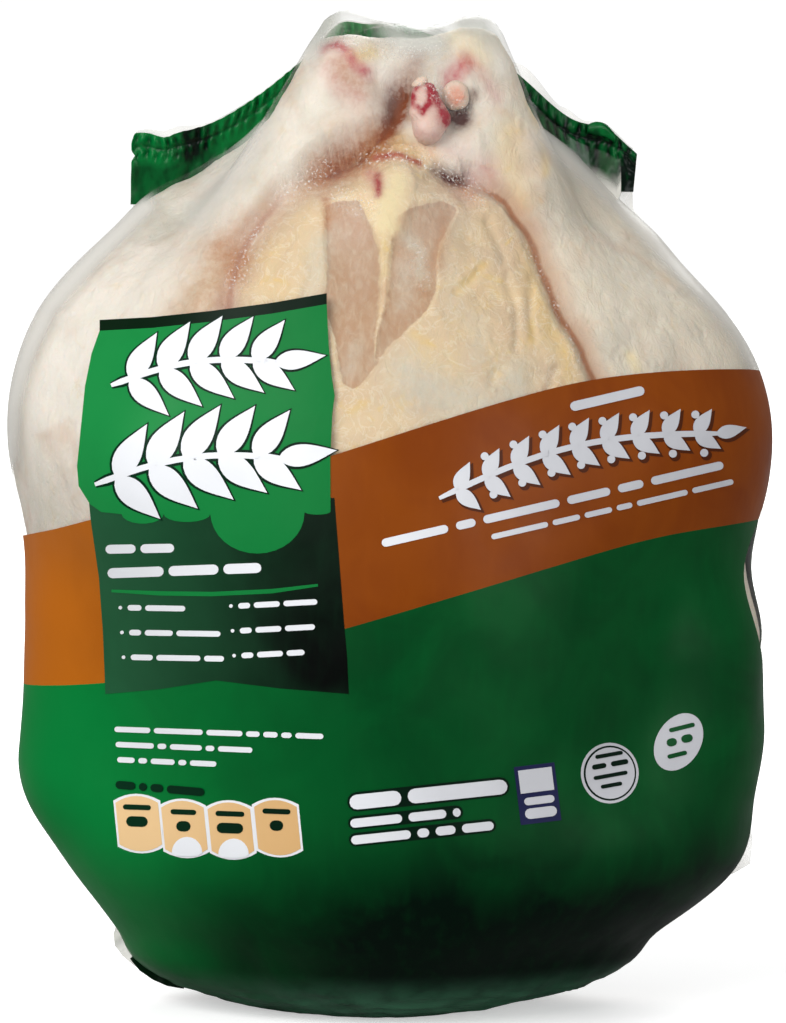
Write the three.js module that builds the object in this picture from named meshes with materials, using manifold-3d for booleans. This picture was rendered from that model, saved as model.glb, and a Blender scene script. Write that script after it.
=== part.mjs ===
// A whole raw chicken in a heat-shrunk retail bag. It stands on its neck end, breast towards -Y,
// hocks up. Millimetres, +Z up, +X to the right of someone facing the breast. The origin is at the
// middle of the part's bounding box, on the surface that it stands on.
//
// The bag is drawn tight by its shrinking, so its form is the bird's own lumps with film bridging the
// hollows between them. The bird is described as ellipsoids and tapered limbs, their smooth union is
// the film, and a sphere's vertices are pushed out along rays until they reach it. The welded end of
// the bag is a crimped strip that arches behind the hocks and ends in two free ears.

import * as THREE from 'three'
import { mergeVertices } from 'three/addons/utils/BufferGeometryUtils.js'
import Module from 'manifold-3d'

const wasm = await Module()
wasm.setup()

// ---- driving dimensions ----
const HOCK_HEIGHT = 243 // the leg ends, 7 mm below the film that covers them
const BREAST_HALF_WIDTH = 61
const BREAST_FRONT = -67 // how far the breast reaches towards -Y
const BACK_REAR = 62 // how far the back reaches towards +Y
const RIBS_HALF_WIDTH = 74
const SHOULDER_HALF_WIDTH = 81
const FILM_BRIDGE = 8 // how widely the film rounds the hollow between two lumps
const FOLDED_FILM = 2 // thickness of gathered or folded film

const AROUND = 80 // facets round the body
const UPRIGHT = 46 // facets from pole to pole

// ---- distance to a lump, negative inside ----

function ellipsoid(centre, radii) {
  const [cx, cy, cz] = centre
  const [rx, ry, rz] = radii
  return (x, y, z) => {
    const [dx, dy, dz] = [x - cx, y - cy, z - cz]
    const near = Math.hypot(dx / rx, dy / ry, dz / rz)
    const slope = Math.hypot(dx / rx ** 2, dy / ry ** 2, dz / rz ** 2)
    return slope < 1e-9 ? -Math.min(rx, ry, rz) : (near * (near - 1)) / slope
  }
}

function limb(start, startRadius, end, endRadius) {
  const axis = end.map((value, i) => value - start[i])
  const lengthSquared = axis.reduce((sum, value) => sum + value * value, 0)
  return (x, y, z) => {
    const from = [x - start[0], y - start[1], z - start[2]]
    const along = (from[0] * axis[0] + from[1] * axis[1] + from[2] * axis[2]) / lengthSquared
    const t = Math.min(1, Math.max(0, along))
    const away = Math.hypot(from[0] - t * axis[0], from[1] - t * axis[1], from[2] - t * axis[2])
    return away - (startRadius + t * (endRadius - startRadius))
  }
}

// ---- the bird, standing on its neck ----

const breastDepth = 44
const backDepth = 26
const leftHock = [-12, -14, HOCK_HEIGHT]
const rightHock = [22, -11, HOCK_HEIGHT - 1]
const bird = {
  breast: ellipsoid([-1, BREAST_FRONT + breastDepth, 105], [BREAST_HALF_WIDTH, breastDepth, 93]),
  ribs: ellipsoid([-13, 12, 100], [RIBS_HALF_WIDTH, 52, 95]),
  back: ellipsoid([2, BACK_REAR - backDepth, 117], [69, backDepth, 86]),
  tail: ellipsoid([2, 8, 204], [23, 18, 39]),
  shoulders: ellipsoid([6, 0, 44], [SHOULDER_HALF_WIDTH, 54, 30]),
  neck: ellipsoid([-2, 4, 17], [61, 35, 15]),
  leftThigh: ellipsoid([-56, 6, 149], [39, 42, 44]),
  rightThigh: ellipsoid([48, 7, 142], [47, 42, 47]),
  leftDrumstick: limb([-44, -24, 139], 33, leftHock, 4),
  rightDrumstick: limb([44, -15, 138], 22, rightHock, 3),
  leftWing: limb([-67, -5, 95], 19, [-74, -3, 62], 17),
  rightWing: limb([66, -3, 89], 26, [65, -2, 73], 27),
  // film bridging between the bird's own parts, and drawn from them to the welded strip
  betweenLegs: limb([2, -24, 200], 15, [6, -15, 228], 10),
  leftLegToEar: limb([-35, 11, 195], 10, [-52, 11, 196], 3),
  rightLegToEar: limb([37, 12, 200], 11, [55, 12, 187], 5),
  leftEarToTail: limb([-52, 16, 192], 6, [-16, 19, 217], 12),
  rightEarToTail: limb([48, 16, 188], 6, [18, 20, 215], 12),
}
const lumps = Object.values(bird)

// Smooth union of the lumps, cut flat where the pack rests.
function film(x, y, z) {
  let sum = 0
  for (const lump of lumps) sum += Math.exp(-lump(x, y, z) / FILM_BRIDGE)
  return Math.max(-FILM_BRIDGE * Math.log(sum), -z)
}

// ---- geometry ----

function moved(geometry, place) {
  const position = geometry.attributes.position
  const point = new THREE.Vector3()
  for (let i = 0; i < position.count; i++) {
    point.fromBufferAttribute(position, i)
    place(point)
    position.setXYZ(i, point.x, point.y, point.z)
  }
  return geometry
}

// Each vertex of the unit sphere starts inside the bird and goes out along its own direction.
function body() {
  const core = new THREE.Vector3(0, 3, 108)
  const coreRadii = new THREE.Vector3(20, 8, 52)
  const reach = 160
  const sphere = new THREE.SphereGeometry(1, AROUND, UPRIGHT)
  sphere.rotateX(Math.PI / 2)
  return moved(sphere, (point) => {
    const way = point.clone().normalize()
    const start = way.clone().multiply(coreRadii).add(core)
    let [inside, outside] = [0, reach]
    while (outside - inside > 1e-3) {
      const middle = (inside + outside) / 2
      point.copy(start).addScaledVector(way, middle)
      if (film(point.x, point.y, point.z) < 0) inside = middle
      else outside = middle
    }
  })
}

// The welded strip: an arch behind the hocks, gathered by the shrinking, with an ear at each end.
function weldedStrip() {
  const [leftEnd, rightEnd] = [-65, 61]
  const [earTop, archTop] = [218.5, 246]
  const [earDepth, archDepth] = [12, 8]
  const tall = 17.5
  const earLean = 3
  const gathers = 9
  const gatherDepth = 0.9
  const strip = new THREE.BoxGeometry(1, 1, 1, 8 * gathers, 1, 3)
  return moved(strip, (point) => {
    const along = point.x + 0.5
    const up = point.z + 0.5
    const fromMiddle = 2 * along - 1
    const arch = Math.cos((Math.PI / 2) * fromMiddle) ** 3
    const gather = Math.sin(2 * Math.PI * gathers * along) * gatherDepth
    const lean = earLean * Math.sin(3 * fromMiddle) * up
    point.set(
      THREE.MathUtils.lerp(leftEnd, rightEnd, along),
      THREE.MathUtils.lerp(earDepth, archDepth, arch) + gather + lean + point.y * FOLDED_FILM,
      THREE.MathUtils.lerp(earTop, archTop, arch) - tall * (1 - up),
    )
  })
}

// A folded corner of the bag's other weld. It grows out of the shoulder and narrows to its tip. side is
// -1 for the left one, which is turned half round about Z, so that its faces still point outwards.
function cornerTab(side, root, tip) {
  const depth = 3
  const tall = 14
  const narrowing = 0.35
  const bow = 1
  const tab = new THREE.BoxGeometry(1, 1, 1, 4, 1, 3)
  return moved(tab, (point) => {
    const out = point.x + 0.5
    const up = point.z + 0.5
    const x = THREE.MathUtils.lerp(root.x, tip.x, out)
    const y = bow * Math.sin(Math.PI * up) * out + point.y * FOLDED_FILM
    const z = THREE.MathUtils.lerp(root.z, tip.z, out) + up * tall * (1 - narrowing * out)
    point.set(side * x, depth + side * y, z)
  })
}

// ---- joining ----

function solid(geometry) {
  const bare = geometry.clone()
  bare.deleteAttribute('normal')
  bare.deleteAttribute('uv')
  const merged = mergeVertices(bare, 1e-4)
  return new wasm.Manifold(
    new wasm.Mesh({
      numProp: 3,
      vertProperties: new Float32Array(merged.attributes.position.array),
      triVerts: new Uint32Array(merged.index.array),
    }),
  )
}

function geometryOf(manifold) {
  const mesh = manifold.getMesh()
  const geometry = new THREE.BufferGeometry()
  geometry.setAttribute('position', new THREE.BufferAttribute(mesh.vertProperties, 3))
  geometry.setIndex(new THREE.BufferAttribute(mesh.triVerts, 1))
  return geometry
}

const pack = [
  weldedStrip(),
  cornerTab(-1, { x: 58, z: 4 }, { x: 70.5, z: 9 }),
  cornerTab(1, { x: 76, z: 30 }, { x: 89, z: 35 }),
].reduce((joined, piece) => joined.add(solid(piece)), solid(body()))
const geometry = geometryOf(pack)
geometry.computeVertexNormals()

const printedFilm = new THREE.MeshStandardMaterial({ color: 0x0a6e3c, roughness: 0.35, metalness: 0 })
const baggedChicken = new THREE.Mesh(geometry, printedFilm)
baggedChicken.name = 'bagged_chicken'

const part = new THREE.Group()
part.add(baggedChicken)

export default part
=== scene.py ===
# %% [markdown]
# # A whole raw chicken in a shrink bag
#
# The pack is a raw bird in a printed bag that was shrunk round it in hot water. Two things make it
# look real: the film is drawn so tight that it takes the bird's own form, and above the print it is
# clear, so the skin, the breast meat and the leg joints show through it. The lesson builds the film
# first, cuts its print fields out of it, then makes the bird inside, the welded ends of the bag, and
# the small printed shapes.

import math

import bmesh
import bpy
import numpy as np
from mathutils import Matrix, Vector, noise
from mathutils.bvhtree import BVHTree


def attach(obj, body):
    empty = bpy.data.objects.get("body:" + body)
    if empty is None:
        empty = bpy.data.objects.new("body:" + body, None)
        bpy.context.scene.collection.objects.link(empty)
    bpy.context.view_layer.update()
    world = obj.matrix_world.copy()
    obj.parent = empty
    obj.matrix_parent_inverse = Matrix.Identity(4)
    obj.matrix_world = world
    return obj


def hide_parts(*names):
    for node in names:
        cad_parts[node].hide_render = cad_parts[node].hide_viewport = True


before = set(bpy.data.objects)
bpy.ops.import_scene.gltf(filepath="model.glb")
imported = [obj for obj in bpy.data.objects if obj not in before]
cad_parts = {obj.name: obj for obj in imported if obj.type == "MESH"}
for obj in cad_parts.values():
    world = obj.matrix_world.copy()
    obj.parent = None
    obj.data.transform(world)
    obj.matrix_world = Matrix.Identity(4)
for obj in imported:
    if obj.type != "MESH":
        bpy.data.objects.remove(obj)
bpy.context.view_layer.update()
MM = 0.001

# %% [markdown]
# ## Where the camera stands
#
# The pack is looked at from the front, from a little above, through a long lens. Print on a round
# body is easiest to place as the eye sees it, so places on the pack are given on an upright sheet
# through the pack's middle: x to the right and z up, in millimetres. `seen` finds where on that
# sheet a point of the pack appears, and `sight` gives the ray from the eye through a place on it.

# %% The camera's place and the sheet that it looks at
DISTANCE = 1400.0
RISE = math.radians(4.5)
FRAME_HEIGHT = 255.75
AIM = np.array([0.25, 0.0, 124.6])
RIGHT = np.array([1.0, 0.0, 0.0])
UP = np.array([0.0, math.sin(RISE), math.cos(RISE)])
AHEAD = np.array([0.0, math.cos(RISE), -math.sin(RISE)])
EYE = AIM - AHEAD * DISTANCE


def seen(points):
    """The x and z on the upright sheet at which the camera sees these points, all in mm."""
    offset = points - EYE
    scale = DISTANCE / (offset @ AHEAD)
    return AIM[0] + (offset @ RIGHT) * scale, AIM[2] + (offset @ UP) * scale


def sight(x, z):
    """The direction from the eye through a place on the upright sheet."""
    place = AIM + (x - AIM[0]) * RIGHT + (z - AIM[2]) * UP
    return (place - EYE) / np.linalg.norm(place - EYE)


# %% [markdown]
# ## The bird as lumps
#
# A plucked bird is a handful of rounded masses. Each one is an ellipsoid or a tapered limb that can
# say how far away a point is. A smooth union of those distances rounds the hollow between two lumps,
# which is just what stretched film does. These are the sizes that the CAD solid was made from.


# %% Distances to the lumps and their smooth union
def ellipsoid(centre, radii):
    centre, radii = np.array(centre, float), np.array(radii, float)

    def distance(points):
        offset = points - centre
        near = np.linalg.norm(offset / radii, axis=1)
        slope = np.linalg.norm(offset / radii**2, axis=1)
        return near * (near - 1) / np.maximum(slope, 1e-9)

    return distance


def limb(start, start_radius, end, end_radius):
    start, end = np.array(start, float), np.array(end, float)
    axis = end - start

    def distance(points):
        along = np.clip((points - start) @ axis / (axis @ axis), 0, 1)
        away = np.linalg.norm(points - start - along[:, None] * axis, axis=1)
        return away - (start_radius + along * (end_radius - start_radius))

    return distance


def union(points, lumps, blend):
    near = sum(np.exp(-np.clip(lump(points), -60, 400) / blend) for lump in lumps)
    return -blend * np.log(near)


body_lumps = {
    "breast": ellipsoid([-1, -23, 105], [61, 44, 93]),
    "ribs": ellipsoid([-13, 12, 100], [74, 52, 95]),
    "back": ellipsoid([2, 36, 117], [69, 26, 86]),
    "tail": ellipsoid([2, 8, 204], [23, 18, 39]),
    "shoulders": ellipsoid([6, 0, 44], [81, 54, 30]),
    "neck": ellipsoid([-2, 4, 17], [61, 35, 15]),
    "left wing": limb([-67, -5, 95], 19, [-74, -3, 62], 17),
    "right wing": limb([66, -3, 89], 26, [65, -2, 73], 27),
}
thigh_lumps = {
    "left thigh": ellipsoid([-56, 6, 149], [39, 42, 44]),
    "right thigh": ellipsoid([48, 7, 142], [47, 42, 47]),
}
film_lumps = {
    "left drumstick": limb([-44, -24, 139], 33, [-12, -14, 243], 4),
    "right drumstick": limb([44, -15, 138], 22, [22, -11, 242], 3),
    "between legs": limb([2, -24, 200], 15, [6, -15, 228], 10),
    "left leg to ear": limb([-35, 11, 195], 10, [-52, 11, 196], 3),
    "right leg to ear": limb([37, 12, 200], 11, [55, 12, 187], 5),
    "left ear to tail": limb([-52, 16, 192], 6, [-16, 19, 217], 12),
    "right ear to tail": limb([48, 16, 188], 6, [18, 20, 215], 12),
}
FILM_BRIDGE = 8.0


def film_distance(points):
    lumps = [*body_lumps.values(), *thigh_lumps.values(), *film_lumps.values()]
    return np.maximum(union(points, lumps, FILM_BRIDGE), -points[:, 2])


# %% [markdown]
# ## From a sphere to the film
#
# `create_icosphere` gives an even net of triangles. Each vertex then travels along its own direction
# until it meets the surface. It could also be done by remeshing joined spheres, but this keeps the
# net even and puts every vertex exactly on the form. The rays start on a small core inside the bird
# rather than at one point, so that the tall pack gets even facets from top to bottom.


# %% Push a sphere's vertices out to a surface
CORE = np.array([0.0, 3.0, 108.0])
CORE_RADII = np.array([20.0, 8.0, 52.0])
REACH = 130.0


def reaches_of(starts, ways, surface, outermost, step):
    """How far along each way the surface is first met, coming inwards from outermost."""
    inner = np.zeros(len(ways))
    searching = np.ones(len(ways), bool)
    for back in np.arange(0, REACH, step):
        ahead = np.flatnonzero(searching)
        if not len(ahead):
            break
        reach = outermost[ahead] - back
        inside = surface(starts[ahead] + ways[ahead] * reach[:, None]) < 0
        inner[ahead[inside]] = reach[inside]
        searching[ahead[inside]] = False
    outer = inner + step
    for _ in range(12):
        middle = (inner + outer) / 2
        inside = surface(starts + ways * middle[:, None]) < 0
        inner = np.where(inside, middle, inner)
        outer = np.where(inside, outer, middle)
    return inner


def push_out(mesh, surface, detail=None, core=CORE, core_radii=CORE_RADII, reach=REACH, step=2.5):
    """Moves a unit sphere's vertices to surface(), then inwards to the finer form of detail()."""
    ways = np.array([vert.co.normalized() for vert in mesh.verts])
    starts = core + ways * core_radii
    reaches = reaches_of(starts, ways, surface, np.full(len(ways), reach), step)
    if detail:
        reaches = reaches_of(starts, ways, detail, reaches + 0.4, 0.4)
    set_places(mesh, starts + ways * reaches[:, None])


def places_of(verts):
    return np.array([vert.co for vert in verts]) / MM


def set_places(mesh, places):
    for vert, place in zip(mesh.verts, places):
        vert.co = Vector(place) * MM
    mesh.normal_update()


# %% The film, with fine shrink ripples
TOP_GATHER, FOOT_GATHER = 185.0, 28.0
FOOT_CREASE = 0.7


def ripple(place, size, seed):
    return noise.noise(Vector(place) / size + Vector((seed, 0, 0)))


def shrink_ripples(mesh, height):
    """Soft pulls that run up the pack, stronger where the film gathers at its two ends, shallow
    dimples all over, and creases round the foot."""
    places = places_of(mesh.verts)
    around = np.arctan2(places[:, 0], -places[:, 1])
    for index, vert in enumerate(mesh.verts):
        x, y, z = places[index]
        ends = max(0.0, (z - TOP_GATHER) / 60) + max(0.0, (FOOT_GATHER - z) / 22)
        pull = ripple((around[index] * 30, z * 0.22, 0), 4.5, 5)
        dimple = ripple((x, y, z), 13, 9)
        clear_of_floor = min(1.0, z / 4)
        rise = height * (0.5 * dimple + (0.35 + 1.2 * ends) * pull) * clear_of_floor
        rise = min(max(rise, -0.6 * height), height)
        foot = FOOT_CREASE * math.exp(-(((z - 5) / 5) ** 2))
        rise += foot * ripple((around[index] * 7, z * 2.2, 0), 2.4, 21)
        vert.co += vert.normal * rise * MM
        vert.co.z = max(vert.co.z, 0)
    mesh.normal_update()


film = bmesh.new()
bmesh.ops.create_icosphere(film, subdivisions=7, radius=1)
push_out(film, film_distance)
shrink_ripples(film, height=0.35)
film_tree = BVHTree.FromBMesh(film)
print("film:", len(film.faces), "faces")

# %% [markdown]
# ## Print fields
#
# The bag is a flat tube, printed on its front and its back, with a narrow bare strip down each side
# where it was folded. The lower part is green, over it runs an orange band, and above that the film
# is bare. Shrinking bends the straight edges of the print into slow waves. `bisect_plane` only cuts
# straight, so the film is bent the other way first, cut, and bent back: the cut then follows the
# wave exactly, and every field gets a clean edge.


# %% The edges of the print
SIDE = 25.0
BARE_STRIP = 13.0


def turn_of(x, y):
    """The angle round the pack, nought at the breast and growing to the right."""
    return math.atan2(x, 3 - y)


def band_top(x, y, z):
    turn = turn_of(x, y)
    return 139 + 20.7 * math.sin(turn) + 8.5 * math.cos(turn)


def band_bottom(x, y, z):
    turn = turn_of(x, y)
    return 102.2 + 20.6 * math.sin(turn) + 2.9 * math.cos(turn)


def front_edge(x, y, z):
    """How far back the front print reaches on each side."""
    return 5 - (18.5 if x > 0 else 0) * math.exp(-(((z - 101) / 24) ** 2))


def back_edge(x, y, z):
    return front_edge(x, y, z) + BARE_STRIP


def field_of(x, y, z):
    """The name of the film's piece at this place."""
    if z > band_top(x, y, z):
        return "film_clear"
    if abs(x) > SIDE and front_edge(x, y, z) < y < back_edge(x, y, z):
        return "film_clear"
    side = "front" if y < front_edge(x, y, z) else "back"
    colour = "orange" if z > band_bottom(x, y, z) else "green"
    return f"film_{colour}_{side}"


# %% Cut the film along them
def cut_level(mesh, axis, level=0.0, near=1e-7, parts=None):
    """Cuts the mesh, or some parts of it, straight across at one level of an axis."""
    normal = Vector([float(i == axis) for i in range(3)])
    parts = parts or [*mesh.verts, *mesh.edges, *mesh.faces]
    bmesh.ops.bisect_plane(mesh, geom=parts, dist=near, plane_co=normal * level, plane_no=normal)


def cut_along(mesh, axis, height, parts=None):
    """Bends the mesh so that height() becomes level, cuts it there, and bends it back."""
    rest = {vert: height(*(vert.co / MM)) for vert in mesh.verts}
    for vert, amount in rest.items():
        vert.co[axis] -= amount * MM
    cut_level(mesh, axis, parts=parts)
    for vert in mesh.verts:
        amount = rest[vert] if vert in rest else height(*(vert.co / MM))
        vert.co[axis] += amount * MM


def bare_corner(mesh):
    """The part of the film that the side strips run through."""
    faces = []
    for face in mesh.faces:
        x, y, z = face.calc_center_median() / MM
        if abs(x) > SIDE and -25 < y < 35 and z < 175:
            faces.append(face)
    edges = {edge for face in faces for edge in face.edges}
    verts = {vert for face in faces for vert in face.verts}
    return [*verts, *edges, *faces]


cut_along(film, 2, band_top)
cut_along(film, 2, band_bottom)
cut_along(film, 1, front_edge, bare_corner(film))
cut_along(film, 1, back_edge, bare_corner(film))
print("film, cut:", len(film.faces), "faces")

# %% [markdown]
# ## Surfaces and their finishes
#
# Ink on shrunk film is even in colour but never quite flat: it thins a little where the film was
# pulled, and the film's own gloss lies over it. Each ink also carries painted shade, deeper to the
# right. All patterns read Object coordinates, so they stay put when the pack is seen from another side.


# %% Small helpers for node materials
def linear(red, green, blue):
    """A colour as a screen shows it, 0 to 255, turned into the linear values that nodes use."""
    shares = [value / 255 for value in (red, green, blue)]
    return [s / 12.92 if s <= 0.04045 else ((s + 0.055) / 1.055) ** 2.4 for s in shares] + [1.0]


class Nodes:
    """A material's node tree, with short ways to add and join nodes."""

    def __init__(self, name):
        self.material = bpy.data.materials.new(name)
        self.material.use_nodes = True
        self.tree = self.material.node_tree
        self.tree.nodes.clear()
        self.output = self.add("ShaderNodeOutputMaterial")
        self.place = self.add("ShaderNodeTexCoord").outputs["Object"]

    def add(self, kind, inputs=None, **settings):
        node = self.tree.nodes.new(kind)
        for key, value in settings.items():
            setattr(node, key, value)
        for key, value in (inputs or {}).items():
            self.feed(node.inputs[key], value)
        return node

    def feed(self, socket, value):
        if isinstance(value, bpy.types.NodeSocket):
            self.tree.links.new(value, socket)
        else:
            socket.default_value = value

    def math(self, operation, a, b=0.0, clamp=False):
        node = self.add("ShaderNodeMath", {0: a, 1: b}, operation=operation, use_clamp=clamp)
        return node.outputs[0]

    def times(self, a, b, clamp=False):
        return self.math("MULTIPLY", a, b, clamp)

    def plus(self, a, b, clamp=False):
        return self.math("ADD", a, b, clamp)

    def minus(self, a, b):
        return self.math("SUBTRACT", a, b)

    def noise(self, size_mm, detail=3.0, roughness=0.5, stretch=(1, 1, 1), distortion=0.0):
        """Noise whose lumps are about size_mm across, drawn out by stretch."""
        scale = [1 / (size_mm * MM * share) for share in stretch]
        mapping = self.add("ShaderNodeMapping", {"Vector": self.place, "Scale": scale})
        texture = self.add("ShaderNodeTexNoise", {
            "Vector": mapping.outputs[0], "Scale": 1.0, "Detail": detail,
            "Roughness": roughness, "Distortion": distortion,
        })
        return texture.outputs["Fac"]

    def spread(self, value, low, high, to_low=0.0, to_high=1.0):
        """Turns values from low to high softly into values from to_low to to_high."""
        ends = {"From Min": low, "From Max": high, "To Min": to_low, "To Max": to_high}
        node = self.add("ShaderNodeMapRange", {"Value": value, **ends}, interpolation_type="SMOOTHSTEP")
        return node.outputs[0]

    def mix(self, share, a, b):
        """Colour a where the share is nought and colour b where it is one."""
        return self.add("ShaderNodeMix", {0: share, 6: a, 7: b}, data_type="RGBA").outputs[2]

    def axes(self):
        """The x, y and z of the place, in metres."""
        return self.add("ShaderNodeSeparateXYZ", {"Vector": self.place}).outputs[:3]

    def attribute(self, name):
        return self.add("ShaderNodeAttribute", attribute_name=name).outputs["Fac"]

    def bump(self, height, depth_mm, over=None):
        """Relief of this depth, on top of another bump where there is one."""
        inputs = {"Height": height, "Strength": 1.0, "Distance": depth_mm * MM}
        if over:
            inputs["Normal"] = over
        return self.add("ShaderNodeBump", inputs).outputs[0]

    def finish(self, kind, inputs):
        """Ends the tree in this shader. What is the same all over is set on its own sockets."""
        self.feed(self.output.inputs["Surface"], self.add(kind, inputs).outputs[0])
        return self.material


# %% Ink on film
def ink(name, light, deep, start=-88, end=0, underside_shade=0.0, most=0.72):
    """A printed colour, light on the left and deeper from start to end in x: painted shade where the
    light falls off round the pack. Where asked it also goes deeper towards the underside, more painted
    shade, and pale at the creased foot, a painted reflection of the floor."""
    nodes = Nodes(name)
    across, _, height = nodes.axes()
    # Painted shade: the lit colour on the left deepens to the shaded one towards the right.
    share = nodes.spread(across, start * MM, end * MM, 0.0, most)
    # Painted shade towards the underside, except at the far left.
    low = nodes.spread(height, 0.020, 0.062, underside_shade, 0.0)
    share = nodes.plus(share, nodes.times(low, nodes.spread(across, -0.085, -0.035)))
    cloud = nodes.spread(nodes.noise(24, detail=4, distortion=0.6), 0.3, 0.75, -0.07, 0.07)
    share = nodes.plus(share, cloud, clamp=True)
    shade = nodes.mix(share, light, deep)
    pulls = nodes.spread(nodes.noise(2.6, detail=3, stretch=(1, 1, 5)), 0.45, 0.85, 0.0, 0.05)
    shade = nodes.mix(pulls, shade, light)
    if underside_shade:
        # Painted reflection of the pale floor on the creased foot, strongest in a thin line at the very
        # bottom.
        foot = nodes.spread(height, 0.0, 0.015, 0.8, 0.0)
        foot = nodes.times(foot, nodes.spread(across, -0.07, 0.0, 0.25, 1.0))
        foot = nodes.times(foot, nodes.spread(nodes.noise(9, detail=3), 0.3, 0.6, 0.6, 1.1))
        rim = nodes.spread(height, 0.0004, 0.0022, 0.5, 0.0)
        shade = nodes.mix(nodes.plus(foot, rim, clamp=True), shade, linear(84, 146, 112))
    wrinkle = nodes.noise(5, detail=4, stretch=(1, 1, 2.2), distortion=0.8)
    rough = nodes.spread(nodes.noise(14, detail=3), 0.3, 0.7, 0.34, 0.46)
    return nodes.finish("ShaderNodeBsdfPrincipled", {
        "Base Color": shade, "Roughness": rough, "Specular IOR Level": 0.08,
        "Normal": nodes.bump(wrinkle, 0.05),
    })


# Each ink is a lit colour and a darker copy for the painted shade towards the right; the green also
# gets painted shade underneath and a painted reflection at its foot.
green_ink = ink("green ink", linear(0, 116, 50), linear(0, 16, 7), underside_shade=0.35)
orange_ink = ink("orange ink", linear(172, 94, 16), linear(88, 24, 3))
label_ink = ink("label green ink", linear(22, 130, 62), linear(2, 94, 40))
dark_ink = ink("dark green ink", linear(32, 84, 53), linear(0, 2, 1), -78, -18, most=0.94)
stripe_ink = ink("stripe ink", linear(0, 26, 6), linear(0, 18, 8))
white_ink = ink("white ink", linear(224, 226, 230), linear(166, 166, 172), -40, 60)
black_ink = ink("outline ink", linear(0, 42, 22), linear(4, 12, 8))
brown_ink = ink("shadow ink", linear(92, 44, 16), linear(60, 24, 8))
cream_ink = ink("cream ink", linear(226, 190, 140), linear(196, 150, 92), -70, -10)
blue_ink = ink("blue ink", linear(40, 46, 84), linear(24, 26, 60))
print("inks:", [material.name for material in bpy.data.materials if material.name.endswith("ink")])


# %% Bare film: clear and glossy, and milky where it stands off the bird
def bare_film():
    nodes = Nodes("clear film")
    wrinkle = nodes.noise(3.2, detail=5, roughness=0.6, distortion=1.2)
    normal = nodes.bump(wrinkle, 0.07)
    # White specks in patches: painted glints on the wet film.
    speck = nodes.spread(nodes.noise(0.9, detail=4, roughness=0.75), 0.665, 0.73, 0.0, 0.7)
    wet = nodes.spread(nodes.noise(16, detail=2), 0.5, 0.62)
    cloud = nodes.spread(nodes.noise(13, detail=5, distortion=0.5), 0.35, 0.75, 0.0, 0.025)
    milk = nodes.plus(cloud, nodes.attribute("milk"))
    milk = nodes.plus(milk, nodes.times(speck, wet))
    # More white specks where juice stands in the folds: bubbles with painted glints.
    bubble_glint = nodes.spread(nodes.noise(0.65, detail=3, roughness=0.7), 0.57, 0.64, 0.0, 0.5)
    bubble_glint = nodes.times(bubble_glint, nodes.attribute("wet"))
    milk = nodes.plus(milk, bubble_glint, clamp=True)
    clear = nodes.add("ShaderNodeBsdfTransparent", {"Color": (0.99, 0.99, 0.985, 1)})
    # Painted shade: the haze is greyer at the very top, against the light that falls on it from above.
    top = nodes.spread(nodes.axes()[2], 0.236, 0.245)
    shade = nodes.mix(top, (0.83, 0.81, 0.76, 1), (0.56, 0.57, 0.52, 1))
    haze = nodes.add("ShaderNodeBsdfDiffuse", {"Color": shade, "Normal": normal})
    body = nodes.add("ShaderNodeMixShader", {0: milk, 1: clear.outputs[0], 2: haze.outputs[0]})
    gloss = nodes.add("ShaderNodeBsdfGlossy", {"Roughness": 0.2, "Normal": normal})
    facing = nodes.add("ShaderNodeLayerWeight", {"Blend": 0.5, "Normal": normal})
    steep = nodes.math("POWER", facing.outputs["Facing"], 5.0)
    share = nodes.plus(nodes.times(steep, 0.22), 0.008)
    return nodes.finish("ShaderNodeMixShader", {0: share, 1: body.outputs[0], 2: gloss.outputs[0]})


clear_film = bare_film()


# %% [markdown]
# ## From meshes to pieces
#
# Every finished mesh goes through one function that makes the object, gives it its finish and lets
# it ride on the pack's only body.


# %% Turn a mesh into a piece of the pack
def in_scene(name, data):
    """A new object for a mesh, a light or a camera."""
    made = bpy.data.objects.new(name, data)
    bpy.context.scene.collection.objects.link(made)
    return made


def from_mesh(name, mesh, material):
    data = bpy.data.meshes.new(name)
    mesh.to_mesh(data)
    mesh.free()
    data.materials.append(material)
    return in_scene(name, data)


def piece(name, mesh, material, slot, thickness=0.0):
    """A piece with its finish. A thickness gives an open sheet a wall, in mm."""
    for edge in mesh.edges:
        edge.smooth = not edge.is_boundary
    made = from_mesh(name, mesh, material)
    made.data.shade_smooth()
    if thickness:
        wall = made.modifiers.new("wall", "SOLIDIFY")
        wall.thickness = thickness * MM
        wall.offset = -1
    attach(made, "root")
    print(name, len(made.data.polygons), "faces")
    return made


# %% Split the film into its fields
FILM_WALL = 0.15
field_materials = {
    "film_clear": (clear_film, "clear_film"),
    "film_green_front": (green_ink, "printed_film"),
    "film_green_back": (green_ink, "printed_film"),
    "film_orange_front": (orange_ink, "printed_film"),
    "film_orange_back": (orange_ink, "printed_film"),
}
fields = {name: film.copy() for name in field_materials}
for name, mesh in fields.items():
    others = [f for f in mesh.faces if field_of(*(f.calc_center_median() / MM)) != name]
    bmesh.ops.delete(mesh, geom=others, context="FACES")
film.free()
film_pieces = {
    name: piece(name, mesh, *field_materials[name], FILM_WALL) for name, mesh in fields.items()
}
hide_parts("bagged_chicken")


# %% [markdown]
# ## The bird inside
#
# The skin lies against the film nearly everywhere, so the bird is made from the same lumps. It
# leaves the film only where the film bridges a hollow: between the legs, beside the breast, and at
# the hocks. The places of those folds are given as lines on the upright sheet, and the skin sinks
# below the film near them. A fold with a wide, soft profile is a gap between two masses; a narrow
# one is the edge of one skin lying over another.


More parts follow.
